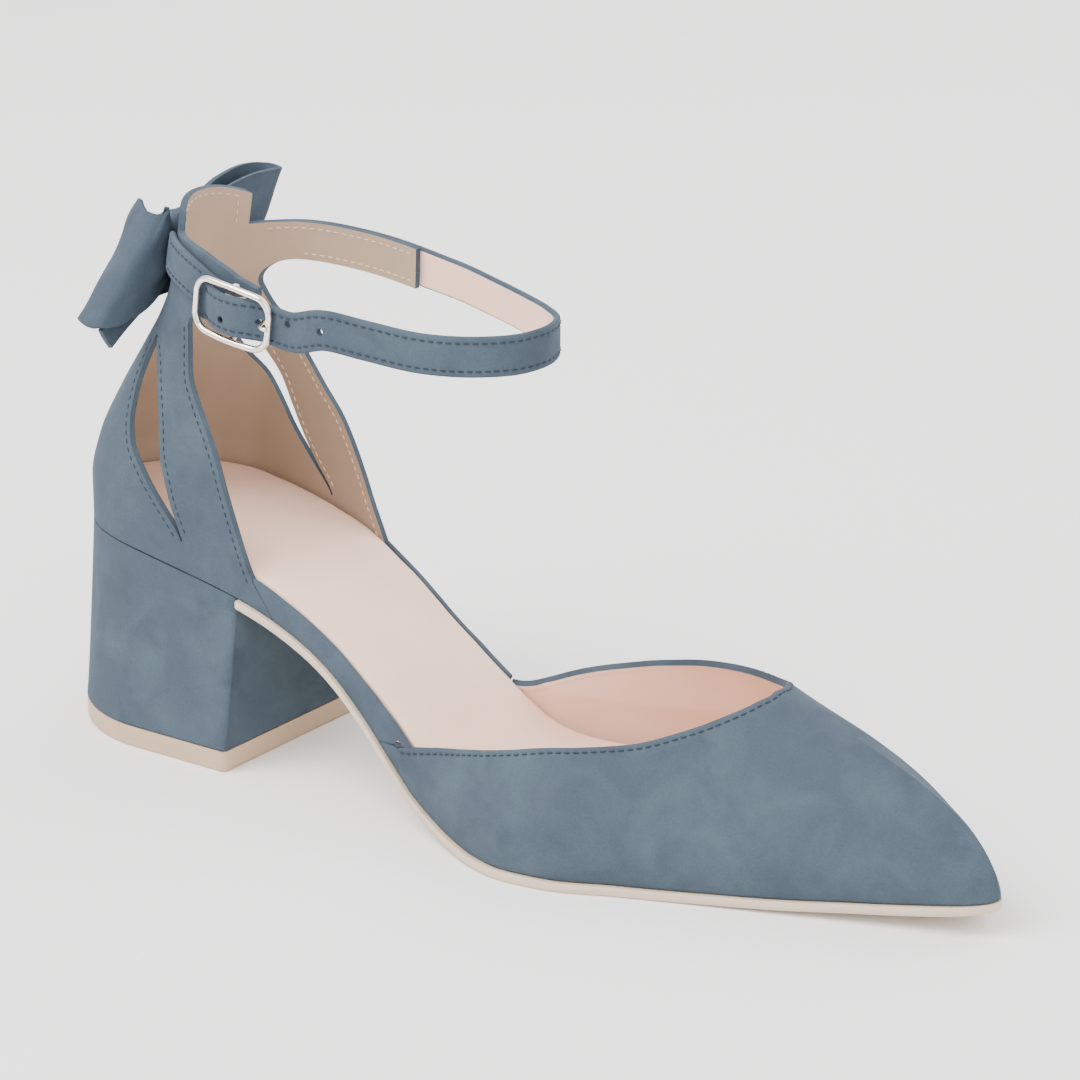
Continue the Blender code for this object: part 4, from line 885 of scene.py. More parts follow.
def add(tree, kind, settings=(), links=()):
    """Adds one node with its settings, by socket or attribute, and the links into it."""
    node = tree.nodes.new(kind)
    for key, value in dict(settings).items():
        if isinstance(key, int) or key in node.inputs:
            node.inputs[key].default_value = value
        else:
            setattr(node, key, value)
    for key, source in dict(links).items():
        tree.links.new(source, node.inputs[key])
    return node


def new_look(name):
    """A material with its shader and the piece's own coordinates in metres."""
    made = bpy.data.materials.new(name)
    made.use_nodes = True
    tree = made.node_tree
    shader = tree.nodes["Principled BSDF"]
    place = add(tree, "ShaderNodeTexCoord").outputs["Object"]
    return made, tree, shader, place


def feed(tree, shader, values, links=()):
    """Sets a shader's values, and links what feeds it."""
    for key, value in values.items():
        shader.inputs[key].default_value = value
    for key, source in dict(links).items():
        tree.links.new(source, shader.inputs[key])


def noise(tree, place, size, detail=2.0, roughness=0.5, distortion=0.0):
    """Noise with features of that many millimetres."""
    settings = {"Scale": per(size), "Detail": detail, "Roughness": roughness, "Distortion": distortion}
    return add(tree, "ShaderNodeTexNoise", settings, {"Vector": place}).outputs["Fac"]


def spread(tree, value, low, high, to_low=0.0, to_high=1.0):
    """Stretches one span of a value to another."""
    settings = {"From Min": low, "From Max": high, "To Min": to_low, "To Max": to_high}
    return add(tree, "ShaderNodeMapRange", settings, {"Value": value}).outputs["Result"]


def blend(tree, share, first, second):
    """Mixes two colours, each a value or a link."""
    node = add(tree, "ShaderNodeMixRGB", (), {"Fac": share})
    for key, source in (("Color1", first), ("Color2", second)):
        if hasattr(source, "node"):
            tree.links.new(source, node.inputs[key])
        else:
            node.inputs[key].default_value = source
    return node.outputs["Color"]


def bump(tree, height, depth, strength, edge):
    """Normal from a height pattern of that depth in millimetres, with edges worn round."""
    settings = {"Radius": edge / 1000, "samples": 4}
    worn = add(tree, "ShaderNodeBevel", settings).outputs["Normal"]
    settings = {"Distance": depth / 1000, "Strength": strength}
    return add(tree, "ShaderNodeBump", settings, {"Height": height, "Normal": worn}).outputs["Normal"]


def suede_look(c):
    """Split leather, dyed and brushed: broad cloudy patches where the nap lies another way, a
    fine speckle of fibre ends, and a soft sheen at grazing angles."""
    made, tree, shader, place = new_look("split_leather_suede_brushed")
    # Cloudy patches 16 mm wide: lighter where the nap leans to the eye, darker where pressed
    cloud = spread(tree, noise(tree, place, 16, 3.0, 0.55, 0.6), 0.42, 0.68)
    press = spread(tree, noise(tree, place, 9, 2.0, 0.5, 0.3), 0.52, 0.74, 0.0, 0.7)
    colour = blend(tree, cloud, tuple(c.suede), tuple(c.nap))
    colour = blend(tree, press, colour, tuple(c.shade))
    # Fibre ends 0.45 mm wide: the grain that tells suede from cloth
    fibre = noise(tree, place, 0.45, 3.0, 0.65)
    value = spread(tree, fibre, 0.25, 0.75, 0.88, 1.10)
    colour = add(tree, "ShaderNodeHueSaturation", (), {"Color": colour, "Value": value}).outputs["Color"]
    normal = bump(tree, fibre, 0.10, 0.45, 0.40)
    values = {"Roughness": 0.92, "Specular IOR Level": 0.18, "Sheen Weight": 0.30, "Sheen Roughness": 0.45}
    feed(tree, shader, {**values, "Sheen Tint": tuple(c.nap)}, {"Base Color": colour, "Normal": normal})
    return made


def lining_look(name, colour, grain=0.8):
    """Finished lining leather: an even colour, a fine pebbled grain and a low satin shine."""
    made, tree, shader, place = new_look(name)
    # Pebbles of grain
    settings = {"Scale": per(grain), "feature": "SMOOTH_F1"}
    pebble = add(tree, "ShaderNodeTexVoronoi", settings, {"Vector": place}).outputs["Distance"]
    # Slow change of colour where the hide is thinner
    hide = spread(tree, noise(tree, place, 22, 2.0), 0.3, 0.7, 0.96, 1.03)
    settings = {"Color": tuple(colour)}
    tinted = add(tree, "ShaderNodeHueSaturation", settings, {"Value": hide}).outputs["Color"]
    normal = bump(tree, pebble, 0.05, 0.22, 0.30)
    values = {"Roughness": 0.55, "Specular IOR Level": 0.35}
    feed(tree, shader, values, {"Base Color": tinted, "Normal": normal})
    return made


def edge_look(name, colour):
    """Painted edge of leather board: smooth and even, with faint lines along its layers."""
    made, tree, shader, place = new_look(name)
    # Layers 0.5 mm high, drawn out along the edge
    flat = add(tree, "ShaderNodeMapping", {"Scale": (0.05, 0.05, 1.0)}, {"Vector": place}).outputs["Vector"]
    layer = noise(tree, flat, 0.5, 2.0)
    value = spread(tree, layer, 0.3, 0.7, 0.95, 1.03)
    settings = {"Color": tuple(colour)}
    tinted = add(tree, "ShaderNodeHueSaturation", settings, {"Value": value}).outputs["Color"]
    normal = bump(tree, layer, 0.04, 0.25, 0.35)
    values = {"Roughness": 0.58, "Specular IOR Level": 0.4}
    feed(tree, shader, values, {"Base Color": tinted, "Normal": normal})
    return made


def thread_look(name, colour):
    """Twisted polyester thread: a fine bump of fibres and a soft shine."""
    made, tree, shader, place = new_look(name)
    # Fibres of the twist
    twist = noise(tree, place, 0.12, 1.0)
    normal = bump(tree, twist, 0.05, 0.4, 0.05)
    values = {"Base Color": tuple(colour), "Roughness": 0.6, "Specular IOR Level": 0.35}
    feed(tree, shader, values, {"Normal": normal})
    return made


def metal_look(c):
    """Cast and plated zinc: mirror-like, with a faint brushing that softens the reflections."""
    made, tree, shader, place = new_look("zinc_plated_pale_gold")
    # Polishing marks
    marks = noise(tree, place, 0.6, 3.0)
    rough = spread(tree, marks, 0.3, 0.7, 0.14, 0.26)
    values = {"Base Color": tuple(c.metal), "Metallic": 1.0}
    feed(tree, shader, values, {"Roughness": rough})
    return made


def floor_look():
    """Matte white paper sweep."""
    made, tree, shader, place = new_look("paper_matte_white")
    # Fibres of the paper, too fine to see but for a soft scatter
    fibre = noise(tree, place, 1.5, 2.0)
    value = spread(tree, fibre, 0.3, 0.7, 0.985, 1.0)
    settings = {"Color": linear("F6F5F4")}
    tinted = add(tree, "ShaderNodeHueSaturation", settings, {"Value": value}).outputs["Color"]
    feed(tree, shader, {"Roughness": 0.95, "Specular IOR Level": 0.1}, {"Base Color": tinted})
    return made


LOOKS = {
    "split_leather_suede_brushed": suede_look,
    "calf_lining_pink_finished": lambda c: lining_look("calf_lining_pink_finished", c.lining),
    "pig_lining_tan_finished": lambda c: lining_look("pig_lining_tan_finished", c.tan, 1.1),
    "leather_board_edge_painted": lambda c: edge_look("leather_board_edge_painted", c.sole),
    "rubber_lift_moulded": lambda c: edge_look("rubber_lift_moulded", c.lift),
    "polyester_thread_navy": lambda c: thread_look("polyester_thread_navy", c.thread),
    "polyester_thread_tan": lambda c: thread_look("polyester_thread_tan", c.tan_thread),
    "zinc_plated_pale_gold": metal_look,
}
SUEDE, PINK, TAN, EDGE, LIFT, NAVY, PALE, METAL = LOOKS


def look(name):
    """The material of that name, made on first use."""
    return bpy.data.materials.get(name) or LOOKS[name](bpy.context.scene.shoe_colours)


def make_outsole(s):
    """Sole from the heel breast to the toe: at each station a flat plate with rounded edges."""
    start = along(s, s.breast_x + s.gap)
    arcs = np.linspace(arc_of(start), 1.0, 150)
    flange = s.outsole_flange * np.minimum(1.0, TIP_FLANGE + (1 - station_of(arcs)) / FLANGE_FADE)
    left = np.stack(feather(s, arcs, -1, flange), axis=1)
    right = np.stack(feather(s, arcs, 1, flange), axis=1)
    width = np.linalg.norm(right - left, axis=1)
    thick = s.outsole_thickness
    edge = ((0.0009, 0.0), (0.00035, 0.00012), (0.0, 0.0006), (0.0, thick - 0.0004), (0.0003, thick))
    ring = []
    for near, far, order in ((left, right, edge[::-1]), (right, left, edge)):
        for inset, height in order:
            share = np.minimum(inset, 0.45 * width) / np.maximum(width, 1e-9)
            xy = near + (far - near) * share[:, None]
            ring.append(np.column_stack([xy, bed_height(s, xy[:, 0]) - tread(s) + height]))
    sole = loft("sole_edge", np.stack(ring, axis=1), [look(EDGE)])
    return place_piece(sole, ["outsole"])


def heel_plan(s, level):
    """The heel's plan at a share of its height, 1 at the seat and 0 at the lift: round at the
    back, nearly straight at the sides, with rounded corners at the breast."""
    flare = 1 - level**0.85
    turn = np.linspace(-1, 1, 61) * math.pi / 2
    straight = np.concatenate([np.linspace(0.05, 0.96, 22), [0.98, 0.992, 1.0]])
    half_seat, half_lift = s.seat_width / 2, s.lift_width / 2

    def plan(back, half):
        depth = half * 1.02
        x = back + depth * (1 - np.cos(turn))
        run = back + depth + straight * (s.breast_x - back - depth)
        y = half * np.sin(turn)
        return (
            np.concatenate([run[::-1], x, run]),
            np.concatenate([np.full(len(run), -half), y, np.full(len(run), half)]),
        )

    x, y = plan(s.seat_back, half_seat)
    lift_x, lift_y = plan(s.lift_back, half_lift)
    arcs = arc_of(along(s, x))
    seat_y = np.where(y < 0, feather(s, arcs, -1)[1], feather(s, arcs, 1)[1])
    seat_y = np.where(np.abs(y) < 1e-9, 0.0, seat_y)
    x, y = x + (lift_x - x) * flare, seat_y + (lift_y - seat_y) * flare
    inset = s.breast_corner * np.clip(1 - (s.breast_x - x) / s.breast_corner, 0, 1) ** 2
    return x, y - np.sign(y) * inset


def make_heel(s):
    """Covered block heel: plans from the lift to the seat, its top following the footbed."""
    rings = []
    bottom = s.lift_thickness + s.gap
    for level in np.linspace(0, 1, 30):
        x, y = heel_plan(s, float(level))
        hollow = s.breast_curve * math.sin(math.pi * level) * (x > s.breast_x - 1e-6)
        top = bed_height(s, x) - s.gap
        rings.append(np.column_stack([x - hollow, y, bottom + level * (top - bottom)]))
    heel = loft("heel_cover", rings, [look(SUEDE)])
    return place_piece(heel, ["heel_block"])


def make_lift(s):
    """Top lift: the heel's lowest plan as a plate, its lower edge a little worn."""
    x, y = heel_plan(s, 0.0)
    centre = np.array([x.mean(), y.mean()])
    rings = []
    for height, inset in ((0.0, 0.0005), (0.0003, 0.0001), (0.0008, 0.0), (s.lift_thickness, 0.0)):
        way = unit(np.column_stack([x, y]) - centre)
        rings.append(np.column_stack([x - way[:, 0] * inset, y - way[:, 1] * inset, x * 0 + height]))
    lift = loft("heel_lift", rings, [look(LIFT)])
    return place_piece(lift, ["top_lift"])


def make_footbed(s):
    """Insole board, and its covered rand on both sides of the open waist: a rounded wall with a
    foot under the sock."""
    suede = look(SUEDE)
    arcs = np.linspace(0, float(arc_of(0.984)), 90)
    inset = -s.wall - 2 * s.gap
    left, right = (np.stack(feather(s, arcs, side, inset), axis=1) for side in (-1, 1))
    low, high = bed_height(s, left[:, 0]), bed_height(s, right[:, 0])
    ring = [
        np.column_stack([left, low]),
        np.column_stack([right, high]),
        np.column_stack([right, high + s.board_thickness]),
        np.column_stack([left, low + s.board_thickness]),
    ]
    board = loft("footbed_board", np.stack(ring, axis=1), [suede])
    place_piece(board, ["insole_board"])
    foot = s.wall + 5 * s.gap
    for side, name in ((-1, "rand_lateral"), (1, "rand_medial")):
        middle = float(x_of(s, (strap_edge(s, side, 0.006) + vamp_edge(s, side, 0.006)) / 2))
        rise = float(bed_top(s, middle) - bed_height(s, middle))
        corner = float(x_of(s, (TOPLINE[0] if side < 0 else TOPLINE[-1])[0]))
        front_rise = float(bed_top(s, corner) - bed_height(s, corner))
        profile = (
            (0.0, 0.0, 0.0),
            (0.0, 0.90, 0.0),
            (0.0002, 0.97, 0.0),
            (0.0007, 1.0, 0.0),
            (s.rand_wall - 0.0002, 0.97, 0.0),
            (s.rand_wall, 0.90, 0.0),
            (s.rand_wall, 0.0, 0.8 * s.board_thickness),
            (foot, 0.0, 0.8 * s.board_thickness),
            (foot, 0.0, 0.2 * s.board_thickness),
        )
        ends = []
        for _, share, fixed in profile:
            first = float(x_of(s, strap_edge(s, side, share * rise + fixed))) + 1.3 * s.gap
            last = float(x_of(s, vamp_edge(s, side, share * front_rise + fixed))) - s.gap
            ends.append((first, last))
        rings = []
        for at in np.linspace(0, 1, 60):
            ring = []
            for (offset, share, fixed), (first, last) in zip(profile, ends):
                x = first + (last - first) * at
                place = along(s, x)
                for _ in range(3):
                    px, py = feather(s, arc_of(place), side, -offset)
                    place = place + (x - px) / s.last_length
                bed = float(bed_height(s, px))
                ring.append((px, py, bed + share * (float(bed_top(s, px)) - bed - s.sock_crown / 2) + fixed))
            rings.append(ring)
        place_piece(loft(name, rings, [suede]), [])


def make_sock(s):
    """Padded sock: across each station a low swell between two rolled edges."""
    arcs = np.linspace(float(arc_of(0.002)), float(arc_of(0.985)), 130)
    margin = bed_margin(s, arcs)
    left, right = (np.stack(feather(s, arcs, side, -margin), axis=1) for side in (-1, 1))
    ring = []
    for share, drop in (
        [(0.0, 3.0), (0.0, 0.55), (0.006, 0.2), (0.02, 0.04)]
        + [(share, 0.0) for share in np.linspace(0.05, 0.95, 25)]
        + [(0.98, 0.04), (0.994, 0.2), (1.0, 0.55), (1.0, 3.0)]
    ):
        xy = left + (right - left) * share
        crown = s.sock_crown * (math.sin(math.pi * share) ** 0.5 - 0.5)
        top = bed_top(s, xy[:, 0]) + crown
        floor = bed_height(s, xy[:, 0]) + s.board_thickness + 1.7 * s.gap
        z = floor if drop > 1 else np.maximum(floor, top - drop * 0.0008)
        ring.append(np.column_stack([xy, z]))
    sock = loft("padded_sock", np.stack(ring, axis=1), [look(PINK)])
    return place_piece(sock, ["sock"])


def make_vamp(s):
    """Closed pointed vamp: superellipse sections between the topline and the feather line, its
    topline edge turned in and its seam a little sunk."""
    columns, rows = 200, 60
    top_arc, top_across = topline_curve(s, columns + 1)
    turn = np.linspace(-1, 1, columns + 1)
    foot = np.where(turn < 0, arc_of(VAMP_FOOT_LATERAL), arc_of(VAMP_FOOT_MEDIAL))
    foot_arc = 1 - (1 - foot) * np.abs(turn)
    down = np.linspace(0, 1, rows + 1)[:, None] ** 1.6
    arc = top_arc * (1 - down) + foot_arc * down
    across = top_across * (1 - down) + np.sign(turn) * down
    grid = last_point(s, arc, across)
    middle = np.array([x_of(s, 0.75), 0.0, 0.010])
    normal = unit(np.cross(np.gradient(grid, axis=0), np.gradient(grid, axis=1)))
    normal *= np.sign(np.sum(normal * (grid - middle), axis=-1).mean())
    steps = np.linalg.norm(np.diff(grid, axis=0), axis=-1)
    run = np.concatenate([np.zeros((1, columns + 1)), np.cumsum(steps, axis=0)])
    sunk = 0.00035 * np.exp(-run / 0.0005) + 0.00012 * np.exp(-(((run - EDGE_SEAM) / 0.0005) ** 2))
    shaped = grid - normal * sunk[..., None]
    faces = grid_faces(rows + 1, columns + 1)
    vamp = piece("vamp_upper", shaped, faces, [look(SUEDE), look(PINK)], inside=middle)
    wall(vamp, s.wall, even=False)
    place_piece(bake(vamp), ["vamp"])
    seam = np.array(
        [[np.interp(EDGE_SEAM, run[:, k], grid[:, k, axis]) for axis in range(3)] for k in range(columns + 1)]
    )
    outwards = normal[np.argmin(np.abs(run - EDGE_SEAM), axis=0), np.arange(columns + 1)]
    thread = stitches("vamp_seam", [(seam[2:-2], outwards[2:-2])], look(NAVY))
    place_piece(thread, [])


def on_quarter(s, side, line, layer):
    """Points of the quarter at a layer over its outer face, from X and height, and its normals."""
    points, normals = [], []
    for x, z in line:
        place = place_at(s, float(x), side, float(z))
        near = np.array([float(v) for v in quarter_point(s, place, side, z, layer)])
        far = np.array([float(v) for v in quarter_point(s, place, side, z, layer + 0.001)])
        points.append((near[0], near[1], float(z)))
        normals.append((*(far - near), 0.0))
    return np.array(points), np.array(normals)


def moved(line, distance):
    """A line in the side view moved to its left by a distance."""
    line = np.asarray(line, float)
    way = unit(np.gradient(line, axis=0))
    return line + np.column_stack([-way[:, 1], way[:, 0]]) * distance


def prism(name, line, near, far):
    """Closed outline in the side view, drawn out across the shoe."""
    line = np.asarray(line, float)
    rings = [np.column_stack([line[:, 0], line[:, 0] * 0 + y, line[:, 1]]) for y in (near, far)]
    return loft(name, rings, [])


def quarter_seams(s, side):
    """Side-view lines of the quarter's seams: along the counter's edge, both edges of the side
    strap and the band's lower edge, then along the band's upper edge."""
    base = 1 if side < 0 else 4
    rise = s.band_height - s.seat_height
    heights = s.seat_height + rise * np.linspace(HOLE_FROM + 0.02, HOLE_TO - 0.03, 50)
    rear = [(float(split_x(s, base, z)), float(z)) for z in heights]
    fore = [(float(split_x(s, base + 1, z)), float(z)) for z in heights]
    foot = 0.92 * s.seat_height
    heights = np.linspace(foot, s.seat_height + 0.83 * rise, 60)
    front = [(float(split_x(s, base + 2, z)), float(z)) for z in heights]
    end = float(x_of(s, LATERAL_BAND_END if side < 0 else MEDIAL_BAND_END)) - 0.001
    under = [
        (x, float(band_z(s, x, side)) - s.strap_width / 2)
        for x in np.linspace(front[-1][0] + 0.010, max(end, front[-1][0] + 0.012), 20)
    ]
    first = s.tab_width / 2 - 0.004
    over = [
        (x, float(band_z(s, x, side)) + s.strap_width * (0.5 + float(band_lip(s, x, side))))
        for x in np.linspace(first, end, 50)
    ]
    return (
        [moved(rear, EDGE_SEAM), moved(fore, -EDGE_SEAM), moved(front, EDGE_SEAM)],
        [moved(under, EDGE_SEAM), moved(over, -EDGE_SEAM)],
    )


def tab_seam(s, side, layer):
    """Seam up the back tab's side edge and along half of its top."""
    points, normals = [], []
    places = np.linspace(0, 0.12, 200)
    top = s.tab_height - 0.0018
    corner = s.tab_width / 2 - EDGE_SEAM
    base = float(band_z(s, 0.006, side)) + s.strap_width / 2
    way = [(corner, z) for z in np.linspace(base, top - 0.0022, 14)]
    way += [(corner * share, None) for share in np.linspace(0.97, 0.0, 20)]
    for y, z in way:
        if z is None:
            z = top - s.tab_arch * (y / (s.tab_width / 2)) ** 2.4
        _, ys = quarter_point(s, places, side, z)
        place = float(np.interp(y, np.abs(ys), places))
        near = [float(v) for v in quarter_point(s, place, side, z, layer)]
        far = [float(v) for v in quarter_point(s, place, side, z, layer + 0.001)]
        points.append((near[0], near[1], z))
        normals.append((far[0] - near[0], far[1] - near[1], 0.0))
    return np.array(points), np.array(normals)


def make_quarter(s):
    """Heel counter, side straps, band ends and back tab: plan curves that run from the feather
    line to the ankle's oval, cut by outlines seen from the side."""
    columns, rows = 90, 110
    halves = []
    for side in (-1, 1):
        places = station_of(np.linspace(0, float(arc_of(QUARTER_FRONT)), columns + 1))
        foot = bed_height(s, x_of(s, places))
        up = np.linspace(0, 1, rows + 1)[:, None]
        top_y = quarter_point(s, places, side, s.tab_height)[1]
        top = s.tab_height - s.tab_arch * np.clip(np.abs(top_y) / (s.tab_width / 2), 0, 1.2) ** 2.4
        z = foot + (top - foot) * up
        x, y = quarter_point(s, places + 0 * z, side, z)
        halves.append(np.stack([x, y, z], axis=-1))
    grid = np.concatenate([halves[0][:, ::-1], halves[1][:, 1:]], axis=1)
    faces = grid_faces(rows + 1, 2 * columns + 1)
    inside = (0.025, 0.0, 0.080)
    quarter = piece("counter_and_straps", grid, faces, [look(SUEDE), look(TAN)], inside=inside)
    wall(quarter, s.wall)
    for side, name in ((-1, "lateral"), (1, "medial")):
        hole, front, crown = quarter_outlines(s, side)
        cut(quarter, prism(f"{name}_hole", hole, side * 0.002, side * 0.060))
        cut(quarter, prism(f"{name}_front", front, side * 0.002, side * 0.060))
        cut(quarter, prism(f"{name}_crown", crown, side * s.tab_width / 2, side * 0.060))
    place_piece(bake(quarter), ["quarter"])
    outer, inner = [], []
    for side in (-1, 1):
        edges, band = quarter_seams(s, side)
        outer += [on_quarter(s, side, line, 0.0) for line in edges]
        outer.append(tab_seam(s, side, 0.0))
        for line in edges[1:] + band:
            points, normals = on_quarter(s, side, line, -s.wall)
            inner.append((points, -normals))
        points, normals = tab_seam(s, side, -s.wall)
        inner.append((points, -normals))
    place_piece(stitches("counter_seams", outer, look(NAVY)), [])
    place_piece(stitches("lining_seams", inner, look(PALE)), [])


def strap_piece(name, centres, ups, widths, thick, looks, facing):
    """Flat strap carried along a path: a rounded section with its seams a little sunk. facing is
    1 or -1, for the side of the path its suede lies on."""
    centres, ups = np.asarray(centres, float), np.asarray(ups, float)
    tangent = unit(np.gradient(centres, axis=0))
    ups = unit(ups - tangent * np.sum(ups * tangent, axis=1)[:, None])
    out = np.cross(tangent, ups) * facing
    half_w = (np.broadcast_to(widths, len(centres)) / 2)[:, None]
    half_t = (np.broadcast_to(thick, len(centres)) / 2)[:, None]
    flat = np.linspace(-1, 1, 27)
    turn = np.linspace(0, math.pi, 8)[1:-1]
    ring, sides = [], []
    for a in flat:
        place = a * (half_w - half_t)
        seam = 0.00010 * np.exp(-(((np.abs(place) - (half_w - EDGE_SEAM)) / 0.0005) ** 2))
        ring.append(centres + ups * place + out * (half_t - seam))
        sides.append(0)
    for angle in turn:
        rim = ups * (half_w - half_t * (1 - math.sin(angle)))
        ring.append(centres + rim + out * half_t * math.cos(angle))
        sides.append(0)
    for a in flat[::-2]:
        ring.append(centres + ups * a * (half_w - half_t) - out * half_t)
        sides.append(1)
    for angle in turn[::-1]:
        rim = ups * (half_w - half_t * (1 - math.sin(angle)))
        ring.append(centres - rim + out * half_t * math.cos(angle))
        sides.append(0)
    strap = loft(name, np.stack(ring, axis=1), looks, sides)
    seams = [
        (centres + ups * sign * (half_w - EDGE_SEAM) + out * half_t, out) for sign in (-1, 1)
    ]
    return strap, seams


def make_buckle_strap(s):
    """Short strap from under the bow, thinned and folded round the buckle's bar, with a slot for
    the prong."""
    thin = s.buckle_x - s.buckle_length / 2
    places = np.linspace(s.ankle_back + 0.0015, s.buckle_x - 0.003, 46)
    share = np.clip((places - thin + 0.004) / 0.006, 0, 1)
    thick = list(s.strap_thickness + (s.fold_thickness - s.strap_thickness) * share)
    centres, ups = [], []
    for x, thickness in zip(places, thick):
        centre, up = band_route(s, -1, x, x, 1, s.gap + thickness / 2)
        centres += centre
        ups += up
    lying = len(centres)
    radius = fold_radius(s)
    for turn in np.linspace(-math.pi / 2, math.pi / 2, 19):
        centres.append(tuple(on_buckle(s, radius * math.cos(turn), radius * math.sin(turn))))
    for back in (0.0010, 0.0016, 0.0022):
        centres.append(tuple(on_buckle(s, -back, radius)))
    ups += [tuple(buckle_axes(s)[3])] * (len(centres) - lying)
    thick += [s.fold_thickness] * (len(centres) - lying)
    looks = [look(SUEDE), look(PINK)]
    strap, seams = strap_piece(
        "buckle_keeper_strap", centres, ups, s.strap_width, np.array(thick), looks, 1
    )
    slot = s.prong_wire + 4 * s.gap
    reach = radius * 2.6
    ring = [(-0.0032, -reach), (reach, -reach), (reach, reach), (-0.0032, reach)]
    rings = [[on_buckle(s, a, b, h) for a, b in ring] for h in (-slot / 2, slot / 2)]
    cut(strap, loft("prong_slot", rings, []))
    place_piece(bake(strap), ["buckle_strap"])
    runs = [(points[4 : lying - 14], out[4 : lying - 14]) for points, out in seams]
    place_piece(stitches("buckle_strap_seams", runs, look(NAVY)), [])


def hole_tool(s, name, run, up, long):
    """Shape that punches the strap at a distance from the buckle's bar."""
    turn = np.arange(24) * math.pi / 12
    rings = [
        [
            on_buckle(s, run + long / 2 * math.cos(t), depth, up + s.strap_hole / 2 * math.sin(t))
            for t in turn
        ]
        for depth in (-0.0042, 0.0075)
    ]
    return loft(name, rings, [])


def make_ankle_strap(s):
    """Ankle strap from under the bow round the medial side and the front, through the buckle,
    with a rounded free end and punched holes."""
    path, ways = ankle_strap_path(s)
    run = np.concatenate([[0], np.cumsum(np.linalg.norm(np.diff(path, axis=0), axis=1))])
    left = run[-1] - run
    rounding = 1 - np.clip(1 - left / 0.0016, 0, 1) ** 2 * 0.45
    looks = [look(SUEDE), look(PINK)]
    strap, seams = strap_piece(
        "ankle_strap_lined", path, ways, s.strap_width * rounding, s.strap_thickness, looks, -1
    )
    cut(strap, hole_tool(s, "prong_hole", prong_hole(s), 0.0, 0.0030))
    for number, (along_strap, up) in enumerate(SPARE_HOLES):
        place = prong_hole(s) + along_strap * s.strap_hole_pitch
        cut(strap, hole_tool(s, f"hole_{number}", place, up * s.strap_width, s.strap_hole))
    place_piece(bake(strap), ["ankle_strap"])
    runs = [(points[6:-4], out[6:-4]) for points, out in seams]
    place_piece(stitches("ankle_strap_seams", runs, look(NAVY)), [])


def tube(s, name, points, radius, sides, looks, closed=False):
    """Round wire along a path in the buckle's frame, closed on itself or capped."""
    points = np.asarray(points, float)
    if closed:
        tangent = unit(np.roll(points, -1, axis=0) - np.roll(points, 1, axis=0))
    else:
        tangent = unit(np.gradient(points, axis=0))
    _, along_strap, outwards, _ = buckle_axes(s)
    first = np.cross(tangent, outwards)
    weak = np.linalg.norm(first, axis=1) < 0.2
    first[weak] = np.cross(tangent[weak], along_strap)
    first = unit(first)
    second = np.cross(tangent, first)
    turn = np.arange(sides) * 2 * math.pi / sides
    radii = np.broadcast_to(radius, len(points))[:, None, None]
    rings = points[:, None] + radii * (
        np.cos(turn)[None, :, None] * first[:, None] + np.sin(turn)[None, :, None] * second[:, None]
    )
    if closed:
        rings = np.concatenate([rings, rings[:1]])
    return loft(name, rings, looks, capped=not closed)


